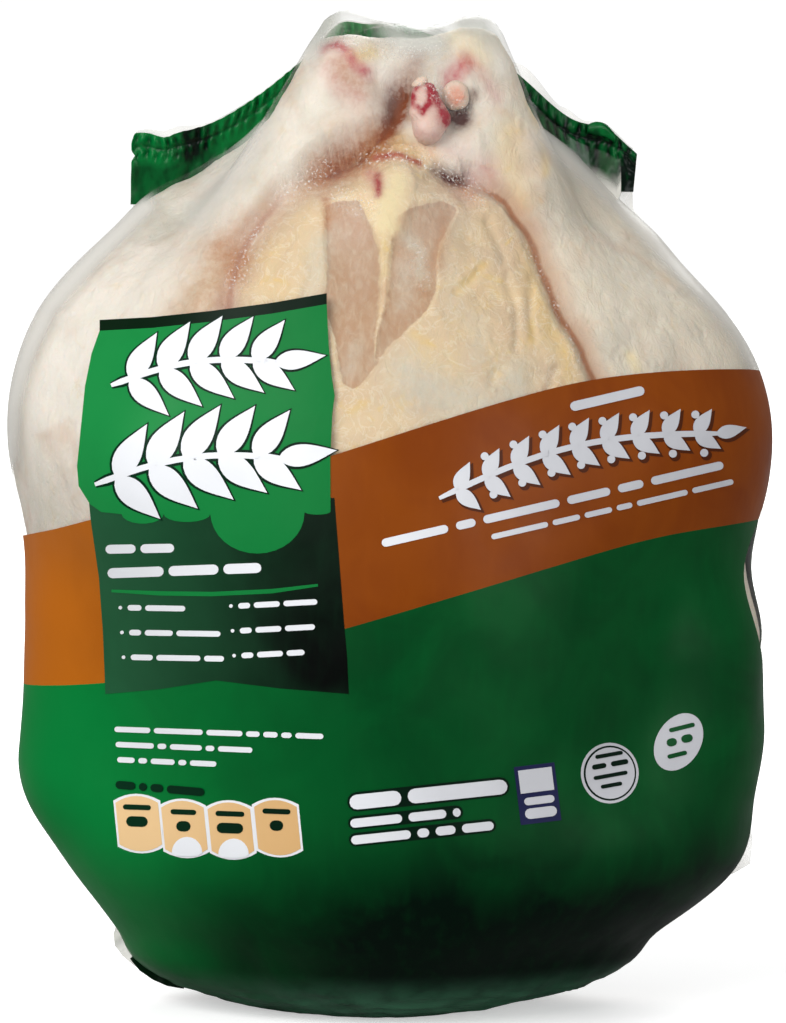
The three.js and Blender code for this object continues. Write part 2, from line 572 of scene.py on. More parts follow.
# %% Distances on the upright sheet
def to_line(x, z, line):
    """How far each place is from a line through these points."""
    nearest = np.full(len(x), 1e9)
    for (ax, az), (bx, bz) in zip(line, line[1:]):
        length = (bx - ax) ** 2 + (bz - az) ** 2
        along = np.clip(((x - ax) * (bx - ax) + (z - az) * (bz - az)) / length, 0, 1)
        away = np.hypot(x - ax - along * (bx - ax), z - az - along * (bz - az))
        nearest = np.minimum(nearest, away)
    return nearest


def to_outline(x, z, outline):
    """The same for a closed outline, negative inside it."""
    closed = [*outline, outline[0]]
    inside = np.zeros(len(x), bool)
    for (ax, az), (bx, bz) in zip(closed, closed[1:]):
        crosses = (az > z) != (bz > z)
        slope = (bx - ax) / (bz - az) if bz != az else 0.0
        inside ^= crosses & (x < ax + (z - az) * slope)
    return to_line(x, z, closed) * np.where(inside, -1, 1)


def near_line(x, z, line, width):
    """One on the line, about a fifth at its width from it, and next to nothing at twice that."""
    return np.exp(-1.5 * (to_line(x, z, line) / width) ** 2)


def marks_of(x, z, lines):
    """What each of several lines leaves at these places, by its width and strength."""
    return [strength * near_line(x, z, line, width) for line, width, strength in lines]


# %% The folds of the front, as the eye sees them
leg_gap = [(1.8, 230), (1.6, 225), (1, 220), (-5, 216.5), (-11.5, 213.5), (-17.5, 210)]
left_fold = [
    (-11.5, 213.5), (-17.5, 209.5), (-23, 205.5), (-28, 201), (-32.5, 196.5), (-35.5, 191.5),
    (-38, 185), (-40, 178.5), (-42, 171), (-43, 160),
]
right_hollow = [(6.5, 215), (10, 210.5), (14, 208.2), (18.5, 206.2)]
joint_hollow = [(8, 229), (11, 222), (17, 224)]
right_fold = [
    (18.5, 206.2), (23, 204), (27.9, 201.8), (31.5, 195), (35.2, 187.8), (38.2, 181.8),
    (41.8, 174.5), (44.9, 167.2), (47.9, 160.5), (52, 150), (56, 138),
]
skin_creases = [
    [(35.8, 183.6), (35.2, 178.7), (34.6, 173.9), (35.2, 169)],
    [(29.7, 183.6), (31, 175), (30.6, 165.4)],
    [(23.7, 198), (26.1, 192), (28.5, 187.2)],
    [(15.8, 179.9), (19, 182), (22.4, 185.4)],
    [(25.5, 157), (26.5, 159), (27.6, 160.5)],
    [(40.5, 160), (39.5, 152), (41, 146)],
    [(-21, 190), (-20, 184), (-21.5, 178)],
    [(-26, 194), (-29, 186), (-30, 177)],
]
keel = [(-0.6, 203), (-2, 196), (-2.3, 186), (-2.2, 176), (-3, 167)]
left_meat = [
    (-16.5, 201.3), (-13.5, 202.6), (-8, 202), (-4.4, 196), (-3.6, 187), (-3.4, 176), (-3.6, 166),
    (-5, 160), (-10, 155), (-12.5, 156.8), (-14.4, 165), (-16.3, 178), (-16.9, 190),
]
right_meat = [
    (1.8, 199), (6, 201.8), (11.5, 202.2), (15.4, 200), (13.2, 192), (11.2, 184.5), (9.8, 178),
    (8.4, 174.6), (4.3, 169), (-2, 163.4), (-5, 160), (-3.1, 167), (-1.6, 177), (-0.4, 188),
]
breast = [
    *leg_gap[2:4], *left_fold, (-40, 130), (50, 130), *right_fold[:0:-1], *right_hollow[::-1],
]
back_folds = [
    [(0, 192), (1, 170), (0, 140)], [(-14, 186), (-26, 172), (-34, 152)],
    [(15, 187), (27, 172), (36, 150)], [(-9, 200), (1, 196), (11, 200)],
]

# %% The bird's own lumps, thinner than the film's at the legs
SKIN_THICKNESS = 0.8
FILM_GAP = 0.65
KEEL_BLEND = 1.2
keel_bone = limb([0.8, -34.5, 207], 4.2, [-0.6, -39.5, 196], 3.2)
bird_lumps = {
    **body_lumps,
    **thigh_lumps,
    "tail": ellipsoid([2, 9, 202], [22, 17, 38]),
    "left drumstick": limb([-44, -24, 139], 33, [-13, -13, 233.6], 8.6),
    "right drumstick": limb([44, -15, 138], 22, [21.4, -11, 236], 8),
    "web": limb([2, -21, 198], 13, [4, -10, 224], 8),
    "left leg to ear": film_lumps["left leg to ear"],
    "left ear to tail": film_lumps["left ear to tail"],
    "right leg skin": limb([36, 11, 204], 11, [55, 11, 192], 6),
}


# %% How far the skin sinks
def to_meat(x, z):
    """The distance to the edge of the open meat, negative on the meat."""
    return np.minimum(to_outline(x, z, left_meat), to_outline(x, z, right_meat))


def on_back_folds(points):
    return sum(near_line(points[:, 0], points[:, 2], fold, 5) for fold in back_folds)


def facing(points):
    """One on the side that faces the eye, falling to nought behind the middle."""
    return np.clip((20 - points[:, 1]) / 20, 0, 1)


def behind_middle(points):
    """The same for the back."""
    return np.clip((points[:, 1] - 12) / 20, 0, 1)


def wavering(x, z):
    """The same places, moved by up to a millimetre, so that no fold runs dead straight."""
    bend = 0.7 * np.sin(z / 4.3 + x / 9) + 0.3 * np.sin(z / 2.6 - x / 5)
    return x + bend, z + 0.6 * np.sin(x / 3.7 - z / 8)


def sunk(points):
    """How far the skin lies below the film in the folds of the front and the back, in mm."""
    x, z = wavering(*seen(points))
    depth = 4.2 * near_line(x, z, leg_gap, 5.5) + 3.0 * near_line(x, z, left_fold, 6)
    depth += 1.8 * near_line(x, z, right_hollow, 4.2)
    beyond = to_outline(x, z, breast) - 0.6
    depth += 1.7 * np.exp(-1.5 * (beyond / np.where(beyond < 0, 1.4, 4.0)) ** 2) * (x > 18) * (z > 125)
    depth += 2.4 * near_line(x, z, joint_hollow, 5.0)
    for crease in skin_creases:
        depth += 0.55 * near_line(x, z, crease, 1.3)
    depth += SKIN_THICKNESS * np.clip(0.5 - to_meat(x, z) / 0.9, 0, 1)
    depth -= 0.3 * near_line(x, z, keel, 2.2)
    return depth * facing(points) + 1.3 * on_back_folds(points) * behind_middle(points)


def plain_bird(points):
    flesh = union(points, bird_lumps.values(), FILM_BRIDGE)
    return np.maximum(flesh, film_distance(points)) + FILM_GAP


def folded_bird(points):
    """The bird with its folds, and the blunt end of the keel bone between them."""
    skin = plain_bird(points) + sunk(points)
    both = [np.exp(-np.clip(away, -20, 60) / KEEL_BLEND) for away in (skin, keel_bone(points))]
    return np.maximum(-KEEL_BLEND * np.log(sum(both)), film_distance(points) + FILM_GAP)


# %% Make the bird, finer where it shows
BARE_SIDE = Vector((0, -0.75, 0.66))
bird = bmesh.new()
bmesh.ops.create_icosphere(bird, subdivisions=6, radius=1)
shown = [face for face in bird.faces if face.calc_center_median().dot(BARE_SIDE) > 0.48]
shown_edges = list({edge for face in shown for edge in face.edges})
bmesh.ops.subdivide_edges(bird, edges=shown_edges, cuts=4, use_grid_fill=True)
bmesh.ops.triangulate(bird, faces=bird.faces)
push_out(bird, plain_bird, folded_bird)
print("bird:", len(bird.faces), "faces")

# %% [markdown]
# Raw skin is never smooth. Plucking leaves goose bumps, and the loose skin lies in soft, wandering
# rolls. Both are real relief here: each vertex moves a little along its normal. The bumps fade out
# on the bare meat.


# %% Goose bumps and rolls
def roughen_skin(mesh):
    places = places_of(mesh.verts)
    x, z = seen(places)
    skin = np.clip(to_meat(x, z) / 1.5, 0.15, 1)
    tuft = near_line(x, z, [(-6, 214), (1, 215.5), (8, 214)], 5)
    for index, vert in enumerate(mesh.verts):
        place = Vector(places[index])
        roll = noise.turbulence(place / 15, 3, False, noise_basis="PERLIN_ORIGINAL")
        goose = noise.noise(place / 1.7) * noise.noise(place / 9 + Vector((7, 0, 0)))
        pimple = max(0.0, noise.noise(place / 1.6 + Vector((3, 1, 0)))) * tuft[index]
        rise = 0.9 * (roll - 0.5) + skin[index] * 0.55 * goose + 1.3 * pimple
        vert.co += vert.normal * min(rise, 0.12 + 0.6 * pimple) * MM
    mesh.normal_update()


roughen_skin(bird)
bird_tree = BVHTree.FromBMesh(bird)


# %% [markdown]
# ## Skin, meat and folds
#
# One finish covers the bird, but its parts differ: creamy skin with yellow fat under it on the
# breast, paler skin on the legs, browner meat where the skin is open, and stains and painted shade
# in the folds. The mesh carries a number for each, worked out from lines on the same upright sheet
# as the folds, and the finish mixes by them. The edges of the meat and of the breast are stored as
# distances, so they stay sharp between vertices.


# %% Where the skin is stained or painted with shade: lines on the sheet, how wide and how strong
stains = {
    # Brown in the gap between the legs, by the loose joint and low on the left groove: the skin's own
    # colour with painted shade of the fold.
    "gap": [
        ([(1.8, 230), (1.5, 223), (-1.5, 219.5), (-6.5, 217.5), (-12.5, 214), (-16.5, 211)], 4, 1.45),
        ([(3, 232), (6, 237)], 3.4, 0.5), ([(-14, 210.4), (-8, 212.4)], 2.8, 0.55),
        ([(-41.5, 175), (-43.4, 160)], 4, 0.5),
    ],
    # Reddish brown: the skin's own at the hocks, and painted shade along the grooves beside the breast.
    "rust_and_shade": [
        ([(-6, 214), (-11, 211.5), (-15, 210)], 5.8, 0.9),
        ([(-19, 207), (-27, 202.5), (-32.5, 197), (-36, 190), (-38, 184)], 4.4, 0.5),
        ([(-14, 236), (-10, 233), (-5, 231)], 4, 0.4), ([(-38, 198), (-42, 192)], 5, 0.3),
        ([(-37.5, 187), (-39.5, 181), (-41.5, 175), (-43, 168)], 3.4, 0.45),
        ([(-43, 188), (-48, 180), (-51, 173)], 7, 0.5),
        ([(-16, 203), (-16.4, 196)], 1.6, 0.7),
        ([(-12, 233), (-7, 226), (-3, 221)], 5, 0.3), ([(3, 234), (5, 239)], 4, 0.35),
        ([(12.5, 197), (13.2, 191), (11.6, 186)], 2.6, 0.45), ([(-12, 199), (-6, 194)], 3, 0.3),
        ([(-4, 216), (8, 216), (12, 212)], 2.6, 0.3),
    ],
    # Dark: painted shade in the hollows beside the breast and round the loose joint.
    "dark": [
        ([(10.6, 210.4), (13, 208.6), (16, 207)], 2.4, 0.85), ([(15, 226.5), (17.4, 223)], 2.8, 1.3),
        ([(14.5, 224.5), (17, 226.5), (19.6, 229)], 2.0, 1.2), ([(15, 207.5), (21, 205.5)], 3.4, 0.35),
    ],
    "blood": [
        ([(-4.4, 208), (-3.6, 203.4)], 1.2, 1.1),
        ([(-4.5, 212.6), (1, 213.2), (6.4, 212)], 1.2, 0.9),
    ],
    "pink": [
        ([(-17, 240.5), (-14, 241), (-11.5, 238.6), (-9.5, 235.6), (-6.5, 234.6)], 1.9, 0.95),
        ([(-15.5, 235), (-13, 230), (-8, 229)], 3.6, 0.3),
        ([(12.5, 231.5), (16, 234.5), (19.5, 238)], 2.6, 1.0),
        ([(18, 205), (24, 209)], 5.0, 0.5),
        ([(22, 236), (26, 228)], 2.6, 0.4), ([(10, 217), (17, 215)], 4, 0.25),
        ([(-6, 208.5), (-4.5, 206)], 2.0, 0.5),
    ],
    "fat": [
        ([(33.5, 190), (37, 178), (42, 165), (46, 150)], 3.0, 0.6),
        ([(16, 179.6), (17.5, 182), (20, 183.6), (23.5, 187)], 1.2, 0.9),
        ([(-8, 215), (2, 217), (9, 214)], 4, 0.6),
        ([(-9.6, 238), (-6, 239.5)], 2.4, 0.9),
        ([(29, 219), (31, 208), (33, 203)], 5, 0.6), ([(34, 227), (37.5, 217), (38.5, 209)], 1.4, 0.8),
        ([(-10, 149.5), (-7, 151)], 1.6, 0.8), ([(6.4, 168.6), (9.4, 167)], 1.5, 0.7),
        ([(-30, 186), (-28, 172)], 6, 0.35), ([(-43, 185), (-48, 179), (-51, 173)], 8, 0.3),
        ([(-8, 201), (-6, 200)], 4.2, 0.6),
        ([(34.8, 172), (34.4, 168)], 1.2, 1.0),
        (keel[:3], 2.4, 0.35),
    ],
    # A greyer tone: painted shade on the lower right of the breast, and greyish skin in smaller
    # patches.
    "pale": [
        ([(4, 158), (15, 152), (27, 149)], 9, 0.9), ([(31, 160), (34, 150)], 5, 0.7),
        ([(20, 172), (22, 163)], 4, 0.5), ([(4, 194), (8, 189), (7, 184)], 2.6, 0.6),
        ([(-12, 160), (-9, 166)], 3, 0.4), ([(-18.6, 192), (-19.5, 176)], 4, 0.6),
        ([(14, 196), (16, 176)], 4, 0.3), ([(3, 186), (2, 176)], 3, 0.4),
    ],
    "bone": [
        ([(0.8, 207), (-0.6, 197)], 3.6, 1.2), (keel[:3], 2.0, 0.25), ([(17, 243), (24, 240)], 5, 0.5),
        ([(60.4, 164), (61, 160.6)], 2.0, 0.8),
    ],
}


# %% Numbers on the bird's vertices
def add_number(mesh, name, values):
    layer = mesh.verts.layers.float.new(name)
    for vert, value in zip(mesh.verts, values):
        vert[layer] = float(value)


def paint_numbers(mesh):
    places = places_of(mesh.verts)
    x, z = wavering(*seen(places))
    front = facing(places)
    meat = to_meat(x, z)
    meat *= 1 - 0.6 * near_line(x, z, keel[1:], 4) - 0.3 * near_line(x, z, [(2, 200), (-2, 190)], 3)
    marks = {
        "meat": np.where(front > 0.2, meat, 50),
        "breast_edge": np.where(front > 0.2, np.clip(to_outline(x, z, breast), -30, 30), 30),
    }
    for name, lines in stains.items():
        marks[name] = np.clip(sum(marks_of(x, z, lines)), 0, 1.5) * front
    # Painted shade in the folds of the back, in the same reddish brown.
    marks["rust_and_shade"] += 0.4 * on_back_folds(places) * behind_middle(places)
    for name, values in marks.items():
        add_number(mesh, name, values)
    print("numbers on the bird:", *marks)


paint_numbers(bird)


# %% The colour of the skin
def skin_tint(nodes):
    """Cream with yellow fat and fine veins on the breast, paler on the legs, with painted light on the
    legs at the far left and painted shade, greyer, on their right.
    """
    blotch = nodes.spread(nodes.noise(20, detail=4, distortion=0.8), 0.38, 0.66)
    across, _, height = nodes.axes()
    legs = nodes.mix(blotch, linear(221, 212, 200), linear(206, 199, 186))
    # Painted light: the legs are lighter at the far left, above the label.
    lit = nodes.spread(across, -0.090, -0.050, 0.8, 0.0)
    lit = nodes.times(lit, nodes.spread(height, 0.125, 0.165))
    legs = nodes.mix(lit, legs, linear(240, 233, 224))
    # Painted shade: the legs are greyer to the right.
    shaded = nodes.mix(blotch, linear(214, 204, 187), linear(200, 191, 176))
    legs = nodes.mix(nodes.spread(across, 0.015, 0.045), legs, shaded)
    front = nodes.mix(blotch, linear(208, 184, 149), linear(198, 175, 147))
    breast = nodes.spread(nodes.attribute("breast_edge"), -2.5, 1.5, 1.0, 0.0)
    tint = nodes.mix(breast, legs, front)
    fatty = nodes.spread(nodes.noise(8, detail=5, roughness=0.62, distortion=1.6), 0.56, 0.72)
    fat = nodes.times(fatty, nodes.spread(breast, 0, 1, 0.22, 0.5))
    fat = nodes.plus(fat, nodes.times(nodes.attribute("fat"), 0.7), clamp=True)
    tint = nodes.mix(fat, tint, linear(212, 181, 116))
    flush = nodes.spread(nodes.noise(14, detail=4, distortion=0.6), 0.5, 0.75, 0.0, 0.35)
    tint = nodes.mix(flush, tint, linear(194, 156, 130))
    vein = nodes.math("ABSOLUTE", nodes.minus(nodes.noise(7, 4, 0.6, distortion=1.4), 0.5))
    vein = nodes.times(nodes.spread(vein, 0.0, 0.035, 0.38, 0.0), breast)
    return nodes.mix(vein, tint, linear(222, 212, 190))


# %% Open meat, stains and the lines along the folds
# Of these, gap, dark and the reddish brown carry painted shade in the folds and hollows, and pale
# carries painted shade on the lower right of the breast.
STAIN_COLOURS = {
    "pale": linear(192, 184, 168),
    "rust_and_shade": linear(162, 101, 48),
    "gap": linear(126, 60, 22),
    "pink": linear(178, 98, 100),
    "bone": linear(218, 200, 158),
    "dark": linear(74, 28, 24),
    "blood": linear(146, 22, 20),
}


def with_meat(nodes, tint):
    fibre = nodes.spread(nodes.noise(1.3, detail=4, stretch=(1, 1, 8), distortion=0.6), 0.35, 0.8)
    film_spot = nodes.spread(nodes.noise(7, detail=3), 0.5, 0.8)
    paler = nodes.math("MAXIMUM", fibre, film_spot)
    inside = nodes.mix(paler, linear(172, 136, 106), linear(184, 158, 132))
    wander = nodes.times(nodes.minus(nodes.noise(2.6, detail=4), 0.5), 1.3)
    edge = nodes.plus(nodes.attribute("meat"), wander)
    open_skin = nodes.spread(edge, -0.3, 0.2, 1.0, 0.0)
    return nodes.mix(open_skin, tint, inside)


def with_stains(nodes, tint):
    speck = nodes.spread(nodes.noise(2.0, detail=5, roughness=0.7), 0.3, 0.7, 0.65, 1.1)
    for name, colour in STAIN_COLOURS.items():
        share = nodes.times(nodes.attribute(name), speck, clamp=True)
        tint = nodes.mix(share, tint, colour)
    return tint


def with_fold_lines(nodes, tint):
    """Painted shade beside the breast in a reddish brown, and a thin brown line of painted shade along
    its edge, on both sides of it.
    """
    across, _, height = nodes.axes()
    right = nodes.times(nodes.spread(across, 0.018, 0.026), nodes.spread(height, 0.130, 0.14))
    left = nodes.spread(across, -0.033, -0.024, 0.85, 0.0)
    sides = nodes.plus(right, nodes.times(left, nodes.spread(height, 0.150, 0.160)))
    beyond = nodes.attribute("breast_edge")
    beside = nodes.times(nodes.spread(beyond, 0.8, 8.0, 0.55, 0.0), nodes.spread(beyond, -1.2, 0.6))
    tint = nodes.mix(nodes.times(beside, sides), tint, STAIN_COLOURS["rust_and_shade"])
    shift = nodes.times(nodes.minus(nodes.noise(5, detail=2), 0.5), 1.5)
    off = nodes.minus(nodes.plus(beyond, shift), 0.5)
    line = nodes.times(nodes.spread(nodes.math("ABSOLUTE", off), 0.2, 1.3, 0.7, 0.0), sides)
    return nodes.mix(line, tint, linear(142, 80, 44))


# %% The whole finish, with pores and creases
def flesh():
    nodes = Nodes("raw skin and meat")
    tint = with_stains(nodes, with_meat(nodes, skin_tint(nodes)))
    tint = with_fold_lines(nodes, tint)
    pores = nodes.add("ShaderNodeTexVoronoi", {"Vector": nodes.place, "Scale": 1 / (1.7 * MM)})
    pore = nodes.spread(pores.outputs["Distance"], 0.0, 0.45)
    crease = nodes.noise(3.5, detail=5, roughness=0.6, stretch=(1, 1, 1.7), distortion=2.0)
    return nodes.finish("ShaderNodeBsdfPrincipled", {
        "Base Color": tint, "Roughness": 0.42, "Specular IOR Level": 0.1,
        "Normal": nodes.bump(pore, 0.05, over=nodes.bump(crease, 0.34)),
        "Subsurface Weight": 0.15, "Subsurface Radius": (0.004, 0.0016, 0.0009),
        "Subsurface Scale": 1.0,
    })


piece("chicken", bird, flesh(), "skin")

# %% [markdown]
# ## Milky film
#
# Where the film lies on wet skin it is as clear as glass. Where it stands off, it is creased, full of
# fine bubbles and whitish. So the bare film carries a number that grows with its distance from the
# bird, and one for the places where juice and bubbles stand in the folds. There the finish paints
# white specks, bubbles with painted glints.


# %% The film's distance from the bird
milky = [
    ([(-21, 239), (-18.5, 244), (-16, 247)], 3.0, 0.45),
    ([(-1, 246), (3, 242), (11, 242)], 3.4, 0.42),
    ([(18, 246.5), (22, 246), (25.5, 241), (27.5, 236)], 2.8, 0.3),
    ([(38, 219), (46, 211.5), (56, 203)], 4.0, 0.4),
    ([(-62, 201), (-75, 188), (-86, 175.5), (-92.5, 162), (-95.5, 150), (-96, 138)], 3.2, 0.6),
    ([(57, 201.5), (66, 192.3), (77, 180.8), (86, 171), (91.5, 161)], 3.2, 0.5),
    ([(-34, 219), (-38, 212), (-44, 205), (-49, 199)], 4.5, 0.3),
]
strip_window = [(-14, 245), (-4, 244.5)]
# Where the finish paints white specks: bubbles with painted glints in the wet folds.
wet_glint_places = [
    ([(-6, 213), (1, 214), (9, 211.5), (18, 207), (23, 203)], 3.0, 1.0),
    ([(-17, 210.5), (-26, 204)], 3.4, 0.8),
    ([(-34, 195), (-39, 182)], 3.6, 0.8),
    ([(-13, 204), (-7, 201)], 3.4, 0.8),
    ([(8, 232), (12, 229), (18, 226)], 2.4, 0.8),
    ([(34, 190), (41, 176), (47, 162)], 1.6, 0.6),
    ([(-17, 244), (-4, 240), (12, 240)], 3.4, 0.6),
    ([(6, 190), (8, 182)], 3.0, 0.5),
]


HAZE_FROM = 2.0
HAZE_RUN = 40.0
HAZE_MOST = 0.12


def add_milk(data):
    """Gives the film its haze, which stays out of the folds that show clearly, and the places of its
    bubbles with their painted glints.
    """
    places = places_of(data.vertices)
    x, z = seen(places)
    hocks = np.max(marks_of(x, z, milky), axis=0)
    wet_glint_share = np.max(marks_of(x, z, wet_glint_places), axis=0) * facing(places)
    clear = 1 - near_line(x, z, [(6, 226), *leg_gap[1:]], 9)
    clear *= (1 - near_line(x, z, right_hollow, 7)) * (1 - near_line(x, z, joint_hollow, 7))
    clear *= 1 - near_line(x, z, strip_window, 6)
    gaps = np.array([bird_tree.find_nearest(vert.co)[3] for vert in data.vertices]) / MM
    haze = np.clip((gaps - HAZE_FROM) / HAZE_RUN, 0, HAZE_MOST) * clear
    for name, values in (("milk", haze + hocks), ("wet", wet_glint_share)):
        data.attributes.new(name, "FLOAT", "POINT").data.foreach_set("value", values)
    print("milky vertices:", int((hocks > 0.1).sum()), "wet ones:", int((wet_glint_share > 0.1).sum()))


add_milk(film_pieces["film_clear"].data)

# %% [markdown]
# ## Cartilage and joints
#
# Where the feet were cut off, the leg ends show gristle: smooth, wet, pale knobs with a pink heart,
# and one joint that is still bloody. Each knob is a ball, drawn out and dented a little, that lies
# just inside the film. The flush is a number on the vertices that grows towards the middle of the
# side that faces forward.


# %% Knobs of gristle
def on_film(x, z):
    """The place on the film that the eye sees at x and z, in mm, and the film's normal there."""
    hit, normal, _, _ = film_tree.ray_cast(Vector(EYE) * MM, Vector(sight(x, z)))
    return hit / MM, normal


def knob(mesh, layer, x, z, radii, lean, inset, heart, seed):
    """A ball of gristle behind the film at x and z, leaning by so many degrees on the sheet."""
    place, normal = on_film(x, z)
    centre = place - normal * (radii[1] + inset + 0.35)
    made = bmesh.ops.create_icosphere(mesh, subdivisions=4, radius=1)["verts"]
    cos, sin = math.cos(math.radians(lean)), math.sin(math.radians(lean))
    for vert in made:
        way = vert.co.copy()
        dent = 1 + 0.16 * noise.noise(way * 1.2 + Vector((seed, 0, 0)))
        flat = Vector((way.x * radii[0], way.y * radii[1], way.z * radii[2])) * dent
        vert[layer] = min(1.0, heart * max(0.0, -way.y * 2.5 - 1.5))
        leaning = Vector((flat.x * cos + flat.z * sin, flat.y, flat.z * cos - flat.x * sin))
        vert.co = (centre + leaning) * MM


def wet_gristle(name, pale, flushed):
    nodes = Nodes(name)
    speck = nodes.spread(nodes.noise(2.2, detail=4, roughness=0.65), 0.3, 0.7, 0.55, 1.3)
    share = nodes.times(nodes.attribute("flush"), speck, clamp=True)
    return nodes.finish("ShaderNodeBsdfPrincipled", {
        "Base Color": nodes.mix(share, pale, flushed), "Roughness": 0.3, "Specular IOR Level": 0.25,
        "Normal": nodes.bump(nodes.noise(1.4, detail=4, distortion=1.0), 0.35),
        "Subsurface Weight": 0.3, "Subsurface Radius": (0.003, 0.0012, 0.0008),
        "Subsurface Scale": 1.0,
    })


pale_gristle = wet_gristle("pale gristle", linear(212, 188, 170), linear(206, 132, 106))
bloody_gristle = wet_gristle("bloody gristle", linear(212, 184, 172), linear(150, 18, 40))

knobs = [
    dict(x=17.5, z=229.5, radii=(3.4, 2.4, 3.6), lean=10, inset=0.9, heart=0.9),
    dict(x=22.0, z=237.4, radii=(2.6, 1.5, 2.2), lean=10, inset=1.4, heart=0.7),
    # The third, with no pink heart, is a small pale wedge where the joint shows a glint: a painted
    # highlight.
    dict(x=7.2, z=232.8, radii=(2.1, 1.3, 1.3), lean=-30, inset=0.9, heart=0.0),
]
cut_joint = bmesh.new()
flush_layer = cut_joint.verts.layers.float.new("flush")
for number, values in enumerate(knobs):
    knob(cut_joint, flush_layer, seed=7 * number, **values)
bmesh.ops.recalc_face_normals(cut_joint, faces=cut_joint.faces)
piece("cut_joint", cut_joint, pale_gristle, "meat")

# %% [markdown]
# The loose joint is one fused form, so it is pushed out from lumps of its own, and its red rim is a
# line on the sheet like the stains of the skin.


# %% The loose, bloody joint
def behind(x, z, depth):
    place, normal = on_film(x, z)
    return np.array(place - normal * depth)


joint_lumps = [
    limb(behind(9.4, 223.8, 4.8), 3.7, behind(10.4, 221.8, 4.8), 3.7),
    limb(behind(10.6, 229.0, 3.6), 2.3, behind(13.6, 224.0, 4.0), 2.9),
    limb(behind(7.0, 230.4, 3.0), 1.8, behind(6.8, 225.8, 3.0), 1.9),
    limb(behind(9.6, 231.4, 2.6), 1.3, behind(9.8, 227.6, 2.6), 1.5),
]
red_rim = [
    (8.6, 231.8), (10, 230.4), (9.8, 227.4), (7.6, 224.4), (5.4, 226.4), (5.2, 229.4), (6.4, 231.4),
]
joint = bmesh.new()
bmesh.ops.create_icosphere(joint, subdivisions=5, radius=1)
push_out(
    joint, lambda points: union(points, joint_lumps, 0.7), core=behind(10, 226, 4.4),
    core_radii=np.full(3, 0.2), reach=12, step=0.5,
)
joint_marks = [
    (red_rim, 1.1, 1.1),
    ([(11, 229.5), (13, 226), (14, 222.4)], 2.6, 1.2),
    ([(7, 219), (12, 218)], 2.4, 0.2),
]
flush = sum(marks_of(*seen(places_of(joint.verts)), joint_marks))
add_number(joint, "flush", np.minimum(flush, 1))
piece("loose_joint", joint, bloody_gristle, "meat")

# %% [markdown]
# ## The welded strip
#
# The open end of the bag is welded straight across by a crimping bar, which leaves two rows of short
# ribs. The shrinking pulled its middle up behind the hocks and left its ends standing out as ears. It
# is a grid, bent to the arch and ribbed in one go, and a thin wall closes it. Each vertex also keeps
# how deep it lies between the ribs, and how far the pack's light falls off there, so that the finish
# can paint shade by both.

# %% Crimped strip
LEFT_END, RIGHT_END = -65.0, 61.0
EAR_TOP, ARCH_TOP = 218.5, 246.0
EAR_DEPTH, ARCH_DEPTH = 12.0, 8.0
STRIP_HEIGHT = 17.5
STRIP_WALL = 0.3
STRIP_HUMPS = [
    (7, 0.755, 0.11), (1.3, 0.93, 0.04), (3.2, 0.412, 0.04),
    (0.5, 0.02, 0.02), (-0.9, 0.065, 0.02), (-1.6, 0, 0.004),
]
GATHERS = 9
RIBS = 50


def hump(value, middle, width):
    return math.exp(-(((value - middle) / width) ** 2))


def humps(value, shapes):
    """The sum of several humps, each given by its height, middle and width."""
    return sum(height * hump(value, middle, width) for height, middle, width in shapes)


def ramp(value, start, run):
    """Nought up to the start, then rising to one over the run. A run below nought goes down."""
    return min(1.0, max(0.0, (value - start) / run))


def bent_grid(columns, rows, number, bend):
    """A grid whose vertices bend() puts in place, and gives a number for their finish."""
    mesh = bmesh.new()
    bmesh.ops.create_grid(mesh, x_segments=columns, y_segments=rows, size=0.5)
    layer = mesh.verts.layers.float.new(number)
    for vert in mesh.verts:
        place, vert[layer] = bend(vert.co.x, vert.co.y + 0.5)
        vert.co = place * MM
    bmesh.ops.recalc_face_normals(mesh, faces=mesh.faces)
    return mesh


def strip_top(along):
    """The height of the strip's upper edge."""
    arch = math.cos(math.pi / 2 * (2 * along - 1)) ** 3
    shape = humps(along, STRIP_HUMPS) - 5.0 * max(0.0, (along - 0.94) / 0.06) ** 1.6
    return EAR_TOP + (ARCH_TOP - EAR_TOP) * arch + shape


def strip_place(along, up):
    """A place on the strip, along from left to right and up from its lower edge, both 0 to 1."""
    from_middle = 2 * along - 1
    arch = math.cos(math.pi / 2 * from_middle) ** 3
    gather = 0.9 * math.sin(2 * math.pi * GATHERS * along)
    lean = 3 * math.sin(3 * from_middle) * up
    left, right = hump(along, 0, 0.03), hump(along, 1, 0.012)
    bend = left * (0.9 * hump(up, 0.74, 0.05) + 0.5 * up - 0.6) + right * (0.9 * up - 0.4)
    foot = EAR_TOP + (ARCH_TOP - EAR_TOP) * arch - STRIP_HEIGHT
    foot += 3.2 * ramp(along, 0.963, 0.008)
    return Vector((
        LEFT_END + (RIGHT_END - LEFT_END) * along + bend,
        EAR_DEPTH + (ARCH_DEPTH - EAR_DEPTH) * arch + gather + lean,
        foot + (strip_top(along) - foot) * up,
    ))


# %% Its ribs and its shade
def ribs(along, up):
    """Two rows of short ribs from the crimping bar, and slanting pulls under them, in mm."""
    drift = 4.0 * noise.noise(Vector((along * 16, 3, up * 3)))
    count = 2 * math.pi * RIBS * along + drift
    uneven = 0.4 + 1.5 * abs(noise.noise(Vector((along * 24, 9, up * 4))))
    rows = hump(up, 0.91, 0.075) * math.cos(count) + hump(up, 0.71, 0.075) * math.cos(count + 1.3)
    seam = -0.45 * hump(up, 0.81, 0.03)
    slant = math.sin(count / 2.4 - 6 * up) * hump(up, 0.4, 0.25) * min(1.0, along / 0.2)
    return 0.6 * rows * uneven + seam + 0.45 * slant * uneven


